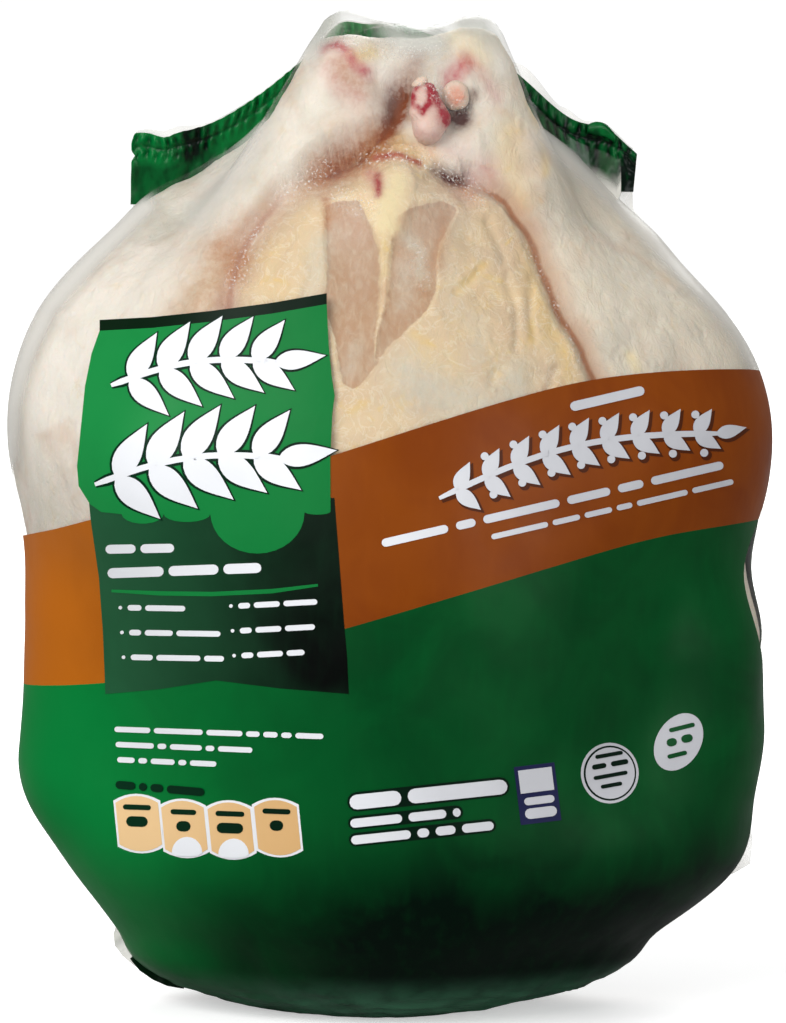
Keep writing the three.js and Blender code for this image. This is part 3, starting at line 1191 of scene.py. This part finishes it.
def shaded_by_pack(along, up):
    """The painted shade on the strip apart from its ribs: in a patch and low down on the left, and
    all over the right."""
    patch = 0.9 * hump(along, 0.118, 0.04) * ramp(up, 0.5, 0.15)
    low = 0.6 * ramp(along, 0.24, -0.1) * ramp(up, 0.66, -0.15)
    right = (0.6 + 0.2 * ramp(up, 0.7, -0.2)) * ramp(along, 0.62, 0.1)
    end = 0.6 * ramp(along, 0.97, 0.008) * ramp(up, 0.8, -0.1)
    return patch + low + right + end


def crimped(across, up):
    """The strip's place there, and how deep and shaded it is."""
    along = across + 0.5
    place, relief = strip_place(along, up), ribs(along, up)
    place.y -= relief + 0.9 * ripple((along * 120, up * 17, 0), 7, 31)
    shade = 0.75 * max(0.0, -relief / 0.8) + shaded_by_pack(along, up) - 0.25 * max(0.0, relief)
    return place, ramp(shade, 0, 1)


# %% Its finish
def strip_finish():
    nodes = Nodes("crimped green film")
    patch = nodes.spread(nodes.noise(8, detail=2, distortion=0.6), 0.4, 0.75, -0.1, 0.2)
    fleck = nodes.spread(nodes.noise(1.8, detail=3, stretch=(1, 1, 2)), 0.35, 0.75, -0.1, 0.2)
    share = nodes.plus(nodes.attribute("valley_shade"), nodes.plus(patch, fleck), clamp=True)
    return nodes.finish("ShaderNodeBsdfPrincipled", {
        # The darkest green is painted shade, in the valleys between the ribs and where the pack's light
        # falls off.
        "Base Color": nodes.mix(share, linear(2, 104, 46), linear(0, 14, 6)),
        "Roughness": 0.28, "Specular IOR Level": 0.12,
    })


crimped_film = strip_finish()
piece("welded_strip", bent_grid(520, 44, "valley_shade", crimped), crimped_film, "printed_film", STRIP_WALL)


# %% [markdown]
# Above the weld the bag goes on as a narrow bare edge. It is only a thread in most places and stands
# up in arcs near the ears. Before the right ear hangs a veil of bare film, clear at its top, so that
# green shows through, and milky below. The green film is also rolled over on itself there.


# %% The bare edge above the weld
EDGE_SPAN = 0.985
EDGE_OVERLAP = 0.6
EDGE_MILK = 0.22
EDGE_HEIGHT = 0.35
EDGE_HUMPS = [(1.4, 0.075, 0.045), (3.0, 0.79, 0.045), (1.4, 0.87, 0.02), (0.5, 0.93, 0.03)]


def bare_edge(across, up):
    along = across * EDGE_SPAN + 0.5
    place = strip_place(along, 1.0)
    place.z += (EDGE_OVERLAP + EDGE_HEIGHT + humps(along, EDGE_HUMPS)) * up - EDGE_OVERLAP
    place.y += 0.9 - 0.8 * up * math.sin(40 * along)
    return place, EDGE_MILK


piece("bare_edge", bent_grid(260, 6, "milk", bare_edge), clear_film, "clear_film", FILM_WALL)

# %% The veil before the right ear
VEIL_START, VEIL_END = 0.72, 0.971
VEIL_STANDS_OFF = 2.2
VEIL_WALL = 0.1


def veil(across, up):
    along = VEIL_START + (VEIL_END - VEIL_START) * (across + 0.5)
    towards_ear = (along - 0.84) / 0.125
    clear_at, milky_at = 0.60 - 0.18 * towards_ear, 0.36 - 0.2 * towards_ear
    up *= 0.79 - 0.14 * towards_ear
    streak = 0.25 * noise.noise(Vector((along * 60 + up * 9, up * 2, 5)))
    share = (clear_at - up) / max(0.08, clear_at - milky_at) + streak
    place = strip_place(along, up)
    place.y -= VEIL_STANDS_OFF
    return place, 0.66 * ramp(share, 0, 1) ** 1.5


piece("ear_veil", bent_grid(60, 24, "milk", veil), clear_film, "clear_film", VEIL_WALL)


# %% The rolled ear
def rolled_ear():
    """A short roll of film, thinner towards its ends, that lies on the front of the right ear."""
    mesh = bmesh.new()
    lying = Matrix.Rotation(math.pi / 2, 4, "Y")
    bmesh.ops.create_cone(mesh, cap_ends=True, segments=20, radius1=1, radius2=1, depth=1, matrix=lying)
    long_edges = [e for e in mesh.edges if abs((e.verts[0].co - e.verts[1].co).x) > 0.5]
    bmesh.ops.subdivide_edges(mesh, edges=long_edges, cuts=14)
    valley_shade = mesh.verts.layers.float.new("valley_shade")
    for vert in mesh.verts:
        along = vert.co.x + 0.5
        # Painted shade on the roll, uneven along it.
        vert[valley_shade] = 0.35 + 0.5 * ripple((along * 20, vert.co.z * 3, 0), 4, 2)
        radius = 0.55 + 0.85 * math.sin(math.pi * (0.12 + 0.76 * along))
        wobble = 1 + 0.25 * noise.noise(vert.co * 2.5)
        depth, rise = vert.co.y * radius * wobble, vert.co.z * radius * wobble * 1.25
        middle = strip_place(0.905 + 0.055 * along, 0.93)
        sag = 0.6 * math.sin(3 * along)
        vert.co = Vector((middle.x, middle.y - 1.5 + depth, middle.z + sag + rise)) * MM
    bmesh.ops.recalc_face_normals(mesh, faces=mesh.faces)
    return mesh


piece("rolled_ear", rolled_ear(), crimped_film, "printed_film")

# %% [markdown]
# ## Corner tabs
#
# The bag was wider than the bird. At the two lower corners its spare film is pressed flat and sticks
# out as a small, stiff tab: a milky crescent with a sliver of green on the left, a triangle on the
# right. A small flap joins each ear to the pack. Each of them is an upright outline near the pack's
# middle, filled and crumpled a little.


# %% Corner tabs
TAB_DEPTH = 3.0
TAB_WALL = 0.3


def corner_tab(name, outline, material, slot, depth=TAB_DEPTH, milkiness=0.0):
    mesh = bmesh.new()
    mesh.faces.new([mesh.verts.new((x, depth, z)) for x, z in outline])
    mesh.normal_update()
    bmesh.ops.triangulate(mesh, faces=mesh.faces)
    bmesh.ops.subdivide_edges(mesh, edges=mesh.edges, cuts=5, use_grid_fill=True)
    milk = mesh.verts.layers.float.new("milk")
    for vert in mesh.verts:
        x, y, z = vert.co
        vert[milk] = milkiness * (1 + 0.5 * ripple((x, 0, z), 4, 3))
        vert.co = Vector((x, y + 0.7 * ripple((x, 0, z), 3, 17), z)) * MM
    bmesh.ops.recalc_face_normals(mesh, faces=mesh.faces)
    return piece(name, mesh, material, slot, TAB_WALL)


left_tab = [
    (-69.6, 19.5), (-70.2, 17.5), (-69.8, 14.5), (-68, 12), (-64.3, 9), (-60, 6.2), (-56, 4.6),
    (-52, 4), (-50, 9), (-60, 15), (-65, 20.5),
]
left_sliver = [
    (-66, 11.5), (-63.6, 8.4), (-60, 6.0), (-56.5, 4.5), (-52.5, 3.8), (-50, 8), (-57, 12), (-62, 15),
]
right_tab = [(82, 45.5), (90, 45), (90.8, 42), (90.2, 35.5), (86, 33), (78, 31), (77, 40)]
left_flap = [(-65.0, 203), (-65.3, 198.4), (-70, 193.6), (-64, 190), (-56, 203)]
right_flap = [(57.5, 206), (60.4, 205.5), (60.7, 199.4), (65.5, 194.5), (58, 192), (50, 204)]
corner_tab("left_tab", left_tab, clear_film, "clear_film", milkiness=0.6)
# The sliver is folded green print; its near-black stripe ink is painted shade.
corner_tab("left_tab_green", left_sliver, stripe_ink, "printed_film", TAB_DEPTH - 1.2)
corner_tab("right_tab", right_tab, clear_film, "clear_film", milkiness=0.3)
corner_tab("left_flap", left_flap, clear_film, "clear_film", EAR_DEPTH + 2.5, milkiness=0.3)
corner_tab("right_flap", right_flap, clear_film, "clear_film", EAR_DEPTH + 2.5, milkiness=0.3)

# %% [markdown]
# ## Printed shapes
#
# Everything printed on the green and the orange is a flat shape first: an outline on the upright
# sheet, filled, cut into small squares so that it can bend, and then laid on the film along the
# eye's lines of sight. A hair's breadth of lift keeps one print above the next. Real packs carry
# words and badges here. This one carries plain bars, leaves and discs of the same sizes.


# %% Outlines
def bar(x, z, width, height, tilt=0.0):
    """A bar with round ends that starts at x and has its middle line at z."""
    radius = height / 2
    outline = []
    for middle, first in ((width - radius, -90), (radius, 90)):
        for step in range(7):
            turn = math.radians(first + 30 * step)
            outline.append((middle + radius * math.cos(turn), radius * math.sin(turn)))
    return turned(outline, x, z, tilt)


def turned(outline, x, z, tilt):
    cos, sin = math.cos(math.radians(tilt)), math.sin(math.radians(tilt))
    return [(x + a * cos - b * sin, z + a * sin + b * cos) for a, b in outline]


def arc(x, z, wide, high, whole, count):
    """Points round part of an oval, from the right. A height below nought makes it hang down."""
    turns = [whole * step / count for step in range(count)]
    return [(x + wide * math.cos(turn), z + high * math.sin(turn)) for turn in turns]


def disc(x, z, radius, stretch=1.0, count=40):
    return arc(x, z, radius * stretch, radius, math.tau, count)


def box(left, low, right, high):
    return [(left, low), (right, low), (right, high), (left, high)]


def leaf(x, z, length, width, tilt):
    """A pointed leaf that starts at x and z."""
    outline = []
    for side in (1, -1):
        for step in range(12):
            along = step / 12 if side == 1 else 1 - step / 12
            bulge = math.sin(math.pi * along**0.75) * (1 - 0.25 * along)
            outline.append((length * along, side * width / 2 * bulge))
    return turned(outline[::-1], x, z, tilt)


def ribbon(line, width):
    """A band of even width along a line of points."""
    left, right = [], []
    for index, (x, z) in enumerate(line):
        before, after = line[max(index - 1, 0)], line[min(index + 1, len(line) - 1)]
        way = math.atan2(after[1] - before[1], after[0] - before[0])
        share = 0.5 if 0 < index < len(line) - 1 else 0.3
        across = (-math.sin(way) * width * share, math.cos(way) * width * share)
        left.append((x + across[0], z + across[1]))
        right.append((x - across[0], z - across[1]))
    return right + left[::-1]


def words(x, z, lengths, height, tilt=0.0, gap=1.2):
    """A line of bars of these lengths, like words in a row."""
    made, along = [], 0.0
    for length in lengths:
        way = math.radians(tilt)
        made.append(bar(x + along * math.cos(way), z + along * math.sin(way), length, height, tilt))
        along += length + gap
    return made


# %% Lay outlines on the film
PRINT_STEP = 2.5
PRINT_LIFT = 0.09
PRINT_WALL = 0.06


def behind_film(x, z):
    """The same as on_film for the back of the pack, with x counted from the left as seen there."""
    hit, normal, _, _ = film_tree.ray_cast(Vector((-x, 400, z)) * MM, Vector((0, -1, 0)))
    return hit / MM, normal


def printed(name, outlines, material, layer, place=on_film):
    """Fills outlines and lays them on the film, in a layer of print counted from nought."""
    mesh = bmesh.new()
    for outline in outlines:
        mesh.faces.new([mesh.verts.new((x, 0, z)) for x, z in outline])
    mesh.normal_update()
    bmesh.ops.triangulate(mesh, faces=mesh.faces)
    for axis in (0, 2):
        values = [vert.co[axis] for vert in mesh.verts]
        for level in np.arange(min(values) + PRINT_STEP, max(values), PRINT_STEP):
            cut_level(mesh, axis, level, near=1e-4)
    for vert in mesh.verts:
        spot, normal = place(vert.co.x, vert.co.z)
        vert.co = (spot + normal * (PRINT_LIFT + PRINT_LIFT * layer)) * MM
    mesh.normal_update()
    for face in mesh.faces:
        spot = face.calc_center_median()
        outward = film_tree.find_nearest(spot)[1]
        if face.normal.dot(outward) < 0:
            face.normal_flip()
    return piece(name, mesh, material, "printed_film", PRINT_WALL)


# %% [markdown]
# ### The label on the breast
#
# A green field hangs from a dark stripe and ends in scallops over a darker field with a notched
# foot. Both are lighter on the left, and the darker one is nearly black on the right, as the light
# falls off round the pack.

# %% Label fields
LABEL_TOP = [(-73, 172.4), (-60, 173.1), (-45, 174.7), (-30, 176.7), (-16.3, 179.1)]
LABEL_FOOT = 124.0
STRIPE = 2.7

stripe_foot = [(x, z - STRIPE) for x, z in LABEL_TOP]
scallops = (
    arc(-18.6, LABEL_FOOT + 0.6, 3.25, -0.8, math.pi, 9)
    + arc(-33.6, LABEL_FOOT + 0.3, 11.75, -10.2, math.pi, 16)
    + arc(-51.2, LABEL_FOOT, 5.8, -2.0, math.pi, 9)
    + arc(-62.2, LABEL_FOOT, 5.2, -2.4, math.pi, 9)
)
label_field = [
    *stripe_foot,
    (-15.8, 166), (-15.0, 158), (-14.3, 153.6), (-14.9, 149), (-15.4, 138),
    *scallops,
    (-67.5, LABEL_FOOT), (-72.5, 124.5), (-75.4, 126.5), (-78.2, 131), (-78.6, 136), (-77.6, 146),
    (-76.6, 156), (-75, 164),
]
stripe_field = [*LABEL_TOP, *stripe_foot[::-1]]
dark_field = [
    (-75.8, 128), (-75.2, 122), (-73.2, 108), (-72.2, 94), (-71.6, 79), (-58, 80.2), (-44, 82.4),
    (-28, 80.4), (-10.8, 79), (-11.2, 88), (-12, 97), (-13, 110), (-14.4, 128),
]
printed("label_dark_field", [dark_field], dark_ink, 0)
printed("label_field", [label_field], label_ink, 1)
printed("label_stripe", [stripe_field], stripe_ink, 1)

# %% Two sprigs in place of a heading
def bow(length, along):
    """How far a stem of this length is bowed upwards there."""
    return 0.07 * length * math.sin(math.pi * along)


def sprig(x, z, length, tilt, pairs, leaf_length, leaf_width, grow=0.0):
    """A bowed stem with leaves in pairs. grow makes every part wider, for the dark edge round it."""
    line = [(length * step / 16, bow(length, step / 16)) for step in range(17)]
    shapes = [ribbon(line, 1.5 + 2 * grow)]
    for pair in range(pairs):
        along = (pair + 0.6) / (pairs + 0.4)
        size = 1.0 - 0.25 * abs(along - 0.4)
        for side in (1, -1):
            slant = side * (52 - 10 * along)
            start_x = length * along - grow * math.cos(math.radians(slant))
            start_z = bow(length, along) - grow * math.sin(math.radians(slant))
            long, wide = leaf_length * size + 2 * grow, leaf_width * size + 2 * grow
            shapes.append(leaf(start_x, start_z, long, wide, slant))
    long, wide = leaf_length * 0.9 + 2 * grow, leaf_width * 0.8 + 2 * grow
    shapes.append(leaf(length - 1 - grow, 0, long, wide, 0))
    return [turned(shape, x, z, tilt) for shape in shapes]


upper_sprig = dict(x=-70, z=156.0, length=42, tilt=8, pairs=5, leaf_length=14.5, leaf_width=6.6)
lower_sprig = dict(x=-74, z=131.4, length=47, tilt=8, pairs=5, leaf_length=16.5, leaf_width=7.6)
printed("sprig_edges", sprig(**upper_sprig, grow=0.6) + sprig(**lower_sprig, grow=0.7), black_ink, 2)
printed("sprigs", sprig(**upper_sprig) + sprig(**lower_sprig), white_ink, 3)

# %% Lines on the dark field and under it
SMALL_GAP = 0.9
bullet_rows = (
    ((3.5, 10), (3, 6.5, 8.5)),
    ((3, 7, 11), (3, 6.5, 7.5)),
    ((5.5, 11, 5), (3, 6.5, 4.5)),
)
foot_rows = (
    (-69.3, 70.2, (9, 12.2, 9, 3.4, 3.6, 2.6, 7), -2),
    (-69.0, 66.4, (9.6, 2.2, 8, 2.2, 8.6), -2.4),
    (-68.6, 62.6, (4.4, 2.2, 6, 2, 6.6), -2.6),
)
lines = words(-71.5, 115.2, (7.5, 8.4), 2.2, 1) + words(-71.0, 109.2, (14, 12.5, 9.5), 2.5, 2)
for row, (left, right) in enumerate(bullet_rows):
    x, z = -67.8 + 0.4 * row, 100.6 - 6.2 * row
    lines += [disc(x, z, 0.45, count=12), disc(x + 27.6, z + 0.4, 0.45, count=12)]
    lines += words(x + 1.8, z, left, 1.4, -1, SMALL_GAP)
    lines += words(x + 29.4, z + 0.4, right, 1.4, 3, SMALL_GAP)
for x, z, lengths, tilt in foot_rows:
    lines += words(x, z, lengths, 1.35, tilt, SMALL_GAP)
printed("small_lines", lines, white_ink, 1)
rule = ribbon([(-70, 104.8), (-58, 104.2), (-45, 104.0), (-30, 104.7), (-18.5, 106.2)], 1.1)
printed("label_rule", [rule], label_ink, 1)

# %% [markdown]
# ### A row of tiles, a block of lines and three badges
#
# The lower edge carries four cream tiles with pale rims, a block of lines with a dark edge, and
# three small badges that climb to the right with the band above them.


# %% Tiles
TILE_WIDTH, TILE_HEIGHT = 10.6, 10.4
TILE_BOW, TILE_LEAN = 1.7, 0.10


def tile(x, z, grow=0.0):
    """A tile with a bowed top and foot, leaning a little to the left."""
    outline = []
    half = TILE_WIDTH / 2 + grow
    for side in (-1, 1):
        for step in range(9):
            across = side * (1 - step / 4)
            rise = TILE_HEIGHT / 2 + grow + TILE_BOW * (1 - across**2)
            outline.append((half * across, side * rise))
    return [(x + a - TILE_LEAN * b, z + b) for a, b in outline]


tile_places = [(-63.2, 46.6), (-51.8, 45.4), (-40.2, 45.0), (-28.6, 45.6)]
tile_bars = [(7, 5.4), (6.4, 3.6), (7.2, 6.6), (7, 3.4)]
half_discs = []
for x, z in tile_places[1:3]:
    dome = arc(x + 0.7, z - 6.1, 3.8, 4.0, math.pi, 12)
    foot = [(x - 3.1, z - 6.1), (x - 2.2, z - 6.8), (x + 0.8, z - 7.0), (x + 3.4, z - 6.8)]
    half_discs.append(dome + foot)
printed("tile_rims", [tile(x, z, grow=0.55) for x, z in tile_places], white_ink, 0)
printed("tiles", [tile(x, z) for x, z in tile_places], cream_ink, 1)
printed("tile_half_discs", half_discs, white_ink, 2)
dark_lines = words(-69, 56.4, (5, 2, 3.2, 9.4), 2.0, -5, SMALL_GAP)
bar_places = [(-63.6, 47.4), (-52.0, 46.2), (-40.4, 45.8), (-28.8, 46.4)]
for (x, z), (top, low) in zip(bar_places, tile_bars):
    dark_lines.append(bar(x - top / 2, z + 3.4, top, 1.3, -2))
    dark_lines.append(bar(x - low / 2, z - 0.2, low, 2.6, -2))
printed("tile_lines", dark_lines, black_ink, 2)

# %% Block of lines and badges
BLOCK_GAP = 1.6
BLOCK_EDGE = 0.6
block_rows = [
    (-10.6, 51.8, (13, 25), 3.7), (-10.4, 46.6, (13, 9.5, 2), 2.2), (-10.2, 42.4, (15, 3, 5, 8), 2.2),
]
block_edges, block = [], []
for x, z, lengths, height in block_rows:
    block += words(x, z, lengths, height, 6, BLOCK_GAP)
    whole = sum(lengths) + BLOCK_GAP * (len(lengths) - 1) + 2 * BLOCK_EDGE
    block_edges.append(bar(x - BLOCK_EDGE, z, whole, height + 2 * BLOCK_EDGE, 6))
printed("block_edges", block_edges, black_ink, 0)
printed("block", block, white_ink, 1)

square_place = (32.2, 46.2, 7)
printed("badge_square", [turned(box(0, 0, 10.2, 14.6), *square_place)], blue_ink, 0)
inner = [turned(box(0.9, 7.8, 9.3, 13.6), *square_place)]
inner += words(33.0, 52.0, (7.6,), 1.9, 7) + words(33.2, 48.9, (8,), 2.6, 7)
printed("badge_square_lines", inner, white_ink, 1)
round_place, round_tilt = (54.4, 59.2), 10
printed("badge_round", [disc(*round_place, 7.6, 0.95)], white_ink, 0)
printed("badge_round_ring", [disc(*round_place, 6.9, 0.95)], black_ink, 1)
printed("badge_round_heart", [disc(*round_place, 6.45, 0.95)], white_ink, 2)
marks = words(49.8, 60.6, (3.6, 4.4), 1.3, round_tilt) + words(50.6, 63.2, (7,), 1.0, round_tilt)
marks += words(50.2, 57.9, (8.6,), 1.0, round_tilt) + words(52, 55.7, (5.4,), 1.0, round_tilt)
printed("badge_round_lines", marks, black_ink, 3)
oval = [(x + 0.25 * (z - 67), z) for x, z in disc(71.6, 67, 7.2, 0.82)]
printed("badge_oval", [oval], white_ink, 0)
marks = words(69.2, 69.8, (6.6,), 1.1, 14) + words(68.6, 66.6, (2.6, 2.9), 2.0, 14)
marks += words(68.8, 63.2, (5,), 1.1, 14)
printed("badge_oval_lines", marks, green_ink, 1)

# %% [markdown]
# ### A garland on the orange band
#
# The band climbs to the right. A white garland with a brown shadow runs along its middle, between a
# short line above and two long ones below, and all of them keep the slope of the band.

# %% Garland and lines on the band
SLOPE = 13.0
BAND_START = (-2.0, 112.0)


def on_band(along, up):
    """A place along the band and up across it, turned with its slope."""
    return turned([(along, up)], *BAND_START, SLOPE)[0]


def garland(grow=0.0, shift=(0.0, 0.0)):
    """One long sprig, with berries between its pairs of leaves."""
    length, pairs = 72.0, 9
    shapes = sprig(0, 0, length, 0, pairs, 8.6, 4.6, grow)
    for pair in range(pairs - 1):
        along = (pair + 1.75) / (pairs + 0.4)
        for side in (1, -1):
            berry_z = bow(length, along) + side * 4.9
            shapes.append(disc(length * along, berry_z, 1.0 + grow, count=16))
    x, z = on_band(17.0 + shift[0], 12.4 + shift[1])
    return [turned(shape, x, z, SLOPE) for shape in shapes]


printed("garland_shadow", garland(grow=0.35, shift=(0.5, -0.7)), brown_ink, 0)
printed("garland", garland(), white_ink, 1)
band_lines = (
    words(*on_band(54, 27.2), (19,), 2.4, SLOPE)
    + words(*on_band(0.5, 4.6), (17, 5, 19.5, 11, 6.5, 18.5), 2.1, SLOPE, 2.0)
    + words(*on_band(27.5, 0.0), (14.5, 7, 7, 4, 13, 10.5), 1.4, SLOPE, 1.2)
)
printed("band_lines", band_lines, white_ink, 1)

# %% [markdown]
# ### The back of the pack
#
# Nothing fancy here on a real pack either: a pale panel with lines and a ruled table, and a smaller
# one beside it, all plain.

# %% Back panels
LINE_STEP = 4.6

printed("back_panels", [box(-34, 26, 12, 84), box(20, 40, 46, 78)], white_ink, 0, behind_film)
back_lines = words(-31, 79.5, (14, 9, 12), 2.4) + words(-31, 74.8, (8, 5, 16, 7), 1.4)
for row in range(9):
    back_lines.append(bar(-31, 70.6 - LINE_STEP * row, 40, 0.45))
    back_lines += words(-31, 68.3 - LINE_STEP * row, (6 + 3 * (row % 3), 5), 1.3, 0, 1)
    back_lines += words(2, 68.3 - LINE_STEP * row, (4 + row % 2 * 2,), 1.3)
for row in range(7):
    back_lines += words(22.5, 74 - LINE_STEP * row, (5 + row % 3 * 2, 9 - row % 2 * 3), 1.4, 0, 1.2)
printed("back_lines", back_lines, black_ink, 1, behind_film)
printed("back_sprig", sprig(-30, 121, 62, -15, 8, 8.6, 4.4), white_ink, 0, behind_film)

# %% [markdown]
# ## Light, floor and camera
#
# A large soft light from the front left, a weaker one from the right and one from behind. The floor
# is pale, and it gives off a little light of its own to the camera alone, so that it comes out white
# and only the shadow under the pack shows on it.


# %% Lights
LIT_POINT = Vector((0, 0, 0.12))


def stand(thing, place, way):
    """Puts a light or a camera in its place and points it along way."""
    thing.location = place
    thing.rotation_euler = Vector(way).to_track_quat("-Z", "Y").to_euler()


def soft_light(name, place, size, power):
    data = bpy.data.lights.new(name, "AREA")
    data.shape = "DISK"
    data.size = size
    data.energy = power
    stand(in_scene(name, data), place, LIT_POINT - Vector(place))
    print(name, "light:", power, "W")


soft_light("key", (-1.5, -1.9, 1.5), 2.2, 78)
soft_light("fill", (1.7, -1.9, 0.6), 1.6, 31)
soft_light("rim", (0.3, 1.8, 1.3), 1.6, 30)


# %% Floor
def pale_floor():
    nodes = Nodes("pale floor")
    pale = nodes.add("ShaderNodeBsdfDiffuse", {"Color": (0.8, 0.8, 0.8, 1)})
    out = nodes.add("ShaderNodeVectorMath", {0: nodes.place}, operation="LENGTH")
    lift = nodes.spread(out.outputs["Value"], 0.15, 0.8, 0.46, 1.0)
    glow = nodes.add("ShaderNodeEmission", {"Strength": lift})
    bright = nodes.add("ShaderNodeAddShader", {0: pale.outputs[0], 1: glow.outputs[0]})
    dim = nodes.add("ShaderNodeBsdfDiffuse", {"Color": (0.3, 0.3, 0.3, 1)})
    ray = nodes.add("ShaderNodeLightPath").outputs["Is Camera Ray"]
    return nodes.finish("ShaderNodeMixShader", {0: ray, 1: dim.outputs[0], 2: bright.outputs[0]})


floor_mesh = bmesh.new()
bmesh.ops.create_circle(floor_mesh, cap_ends=True, segments=96, radius=4)
floor = from_mesh("floor", floor_mesh, pale_floor())

# %% Surroundings and camera
world = bpy.data.worlds.new("studio")
world.use_nodes = True
studio = world.node_tree
studio.nodes["Background"].inputs["Color"].default_value = (1, 1, 1, 1)
sight_ray = studio.nodes.new("ShaderNodeLightPath")
level = studio.nodes.new("ShaderNodeMapRange")
level.inputs["To Min"].default_value = 0.3
level.inputs["To Max"].default_value = 1.05
studio.links.new(sight_ray.outputs["Is Camera Ray"], level.inputs["Value"])
studio.links.new(level.outputs[0], studio.nodes["Background"].inputs["Strength"])
bpy.context.scene.world = world
bpy.context.scene.view_settings.view_transform = "Standard"

lens = bpy.data.cameras.new("camera")
lens.sensor_width = 36
lens.lens = lens.sensor_width * DISTANCE / FRAME_HEIGHT
lens.clip_start = 0.05
lens.clip_end = 100
camera = in_scene("camera", lens)
stand(camera, Vector(EYE) * MM, AHEAD)
bpy.context.scene.camera = camera
print("camera's focal length, mm:", round(lens.lens, 1))
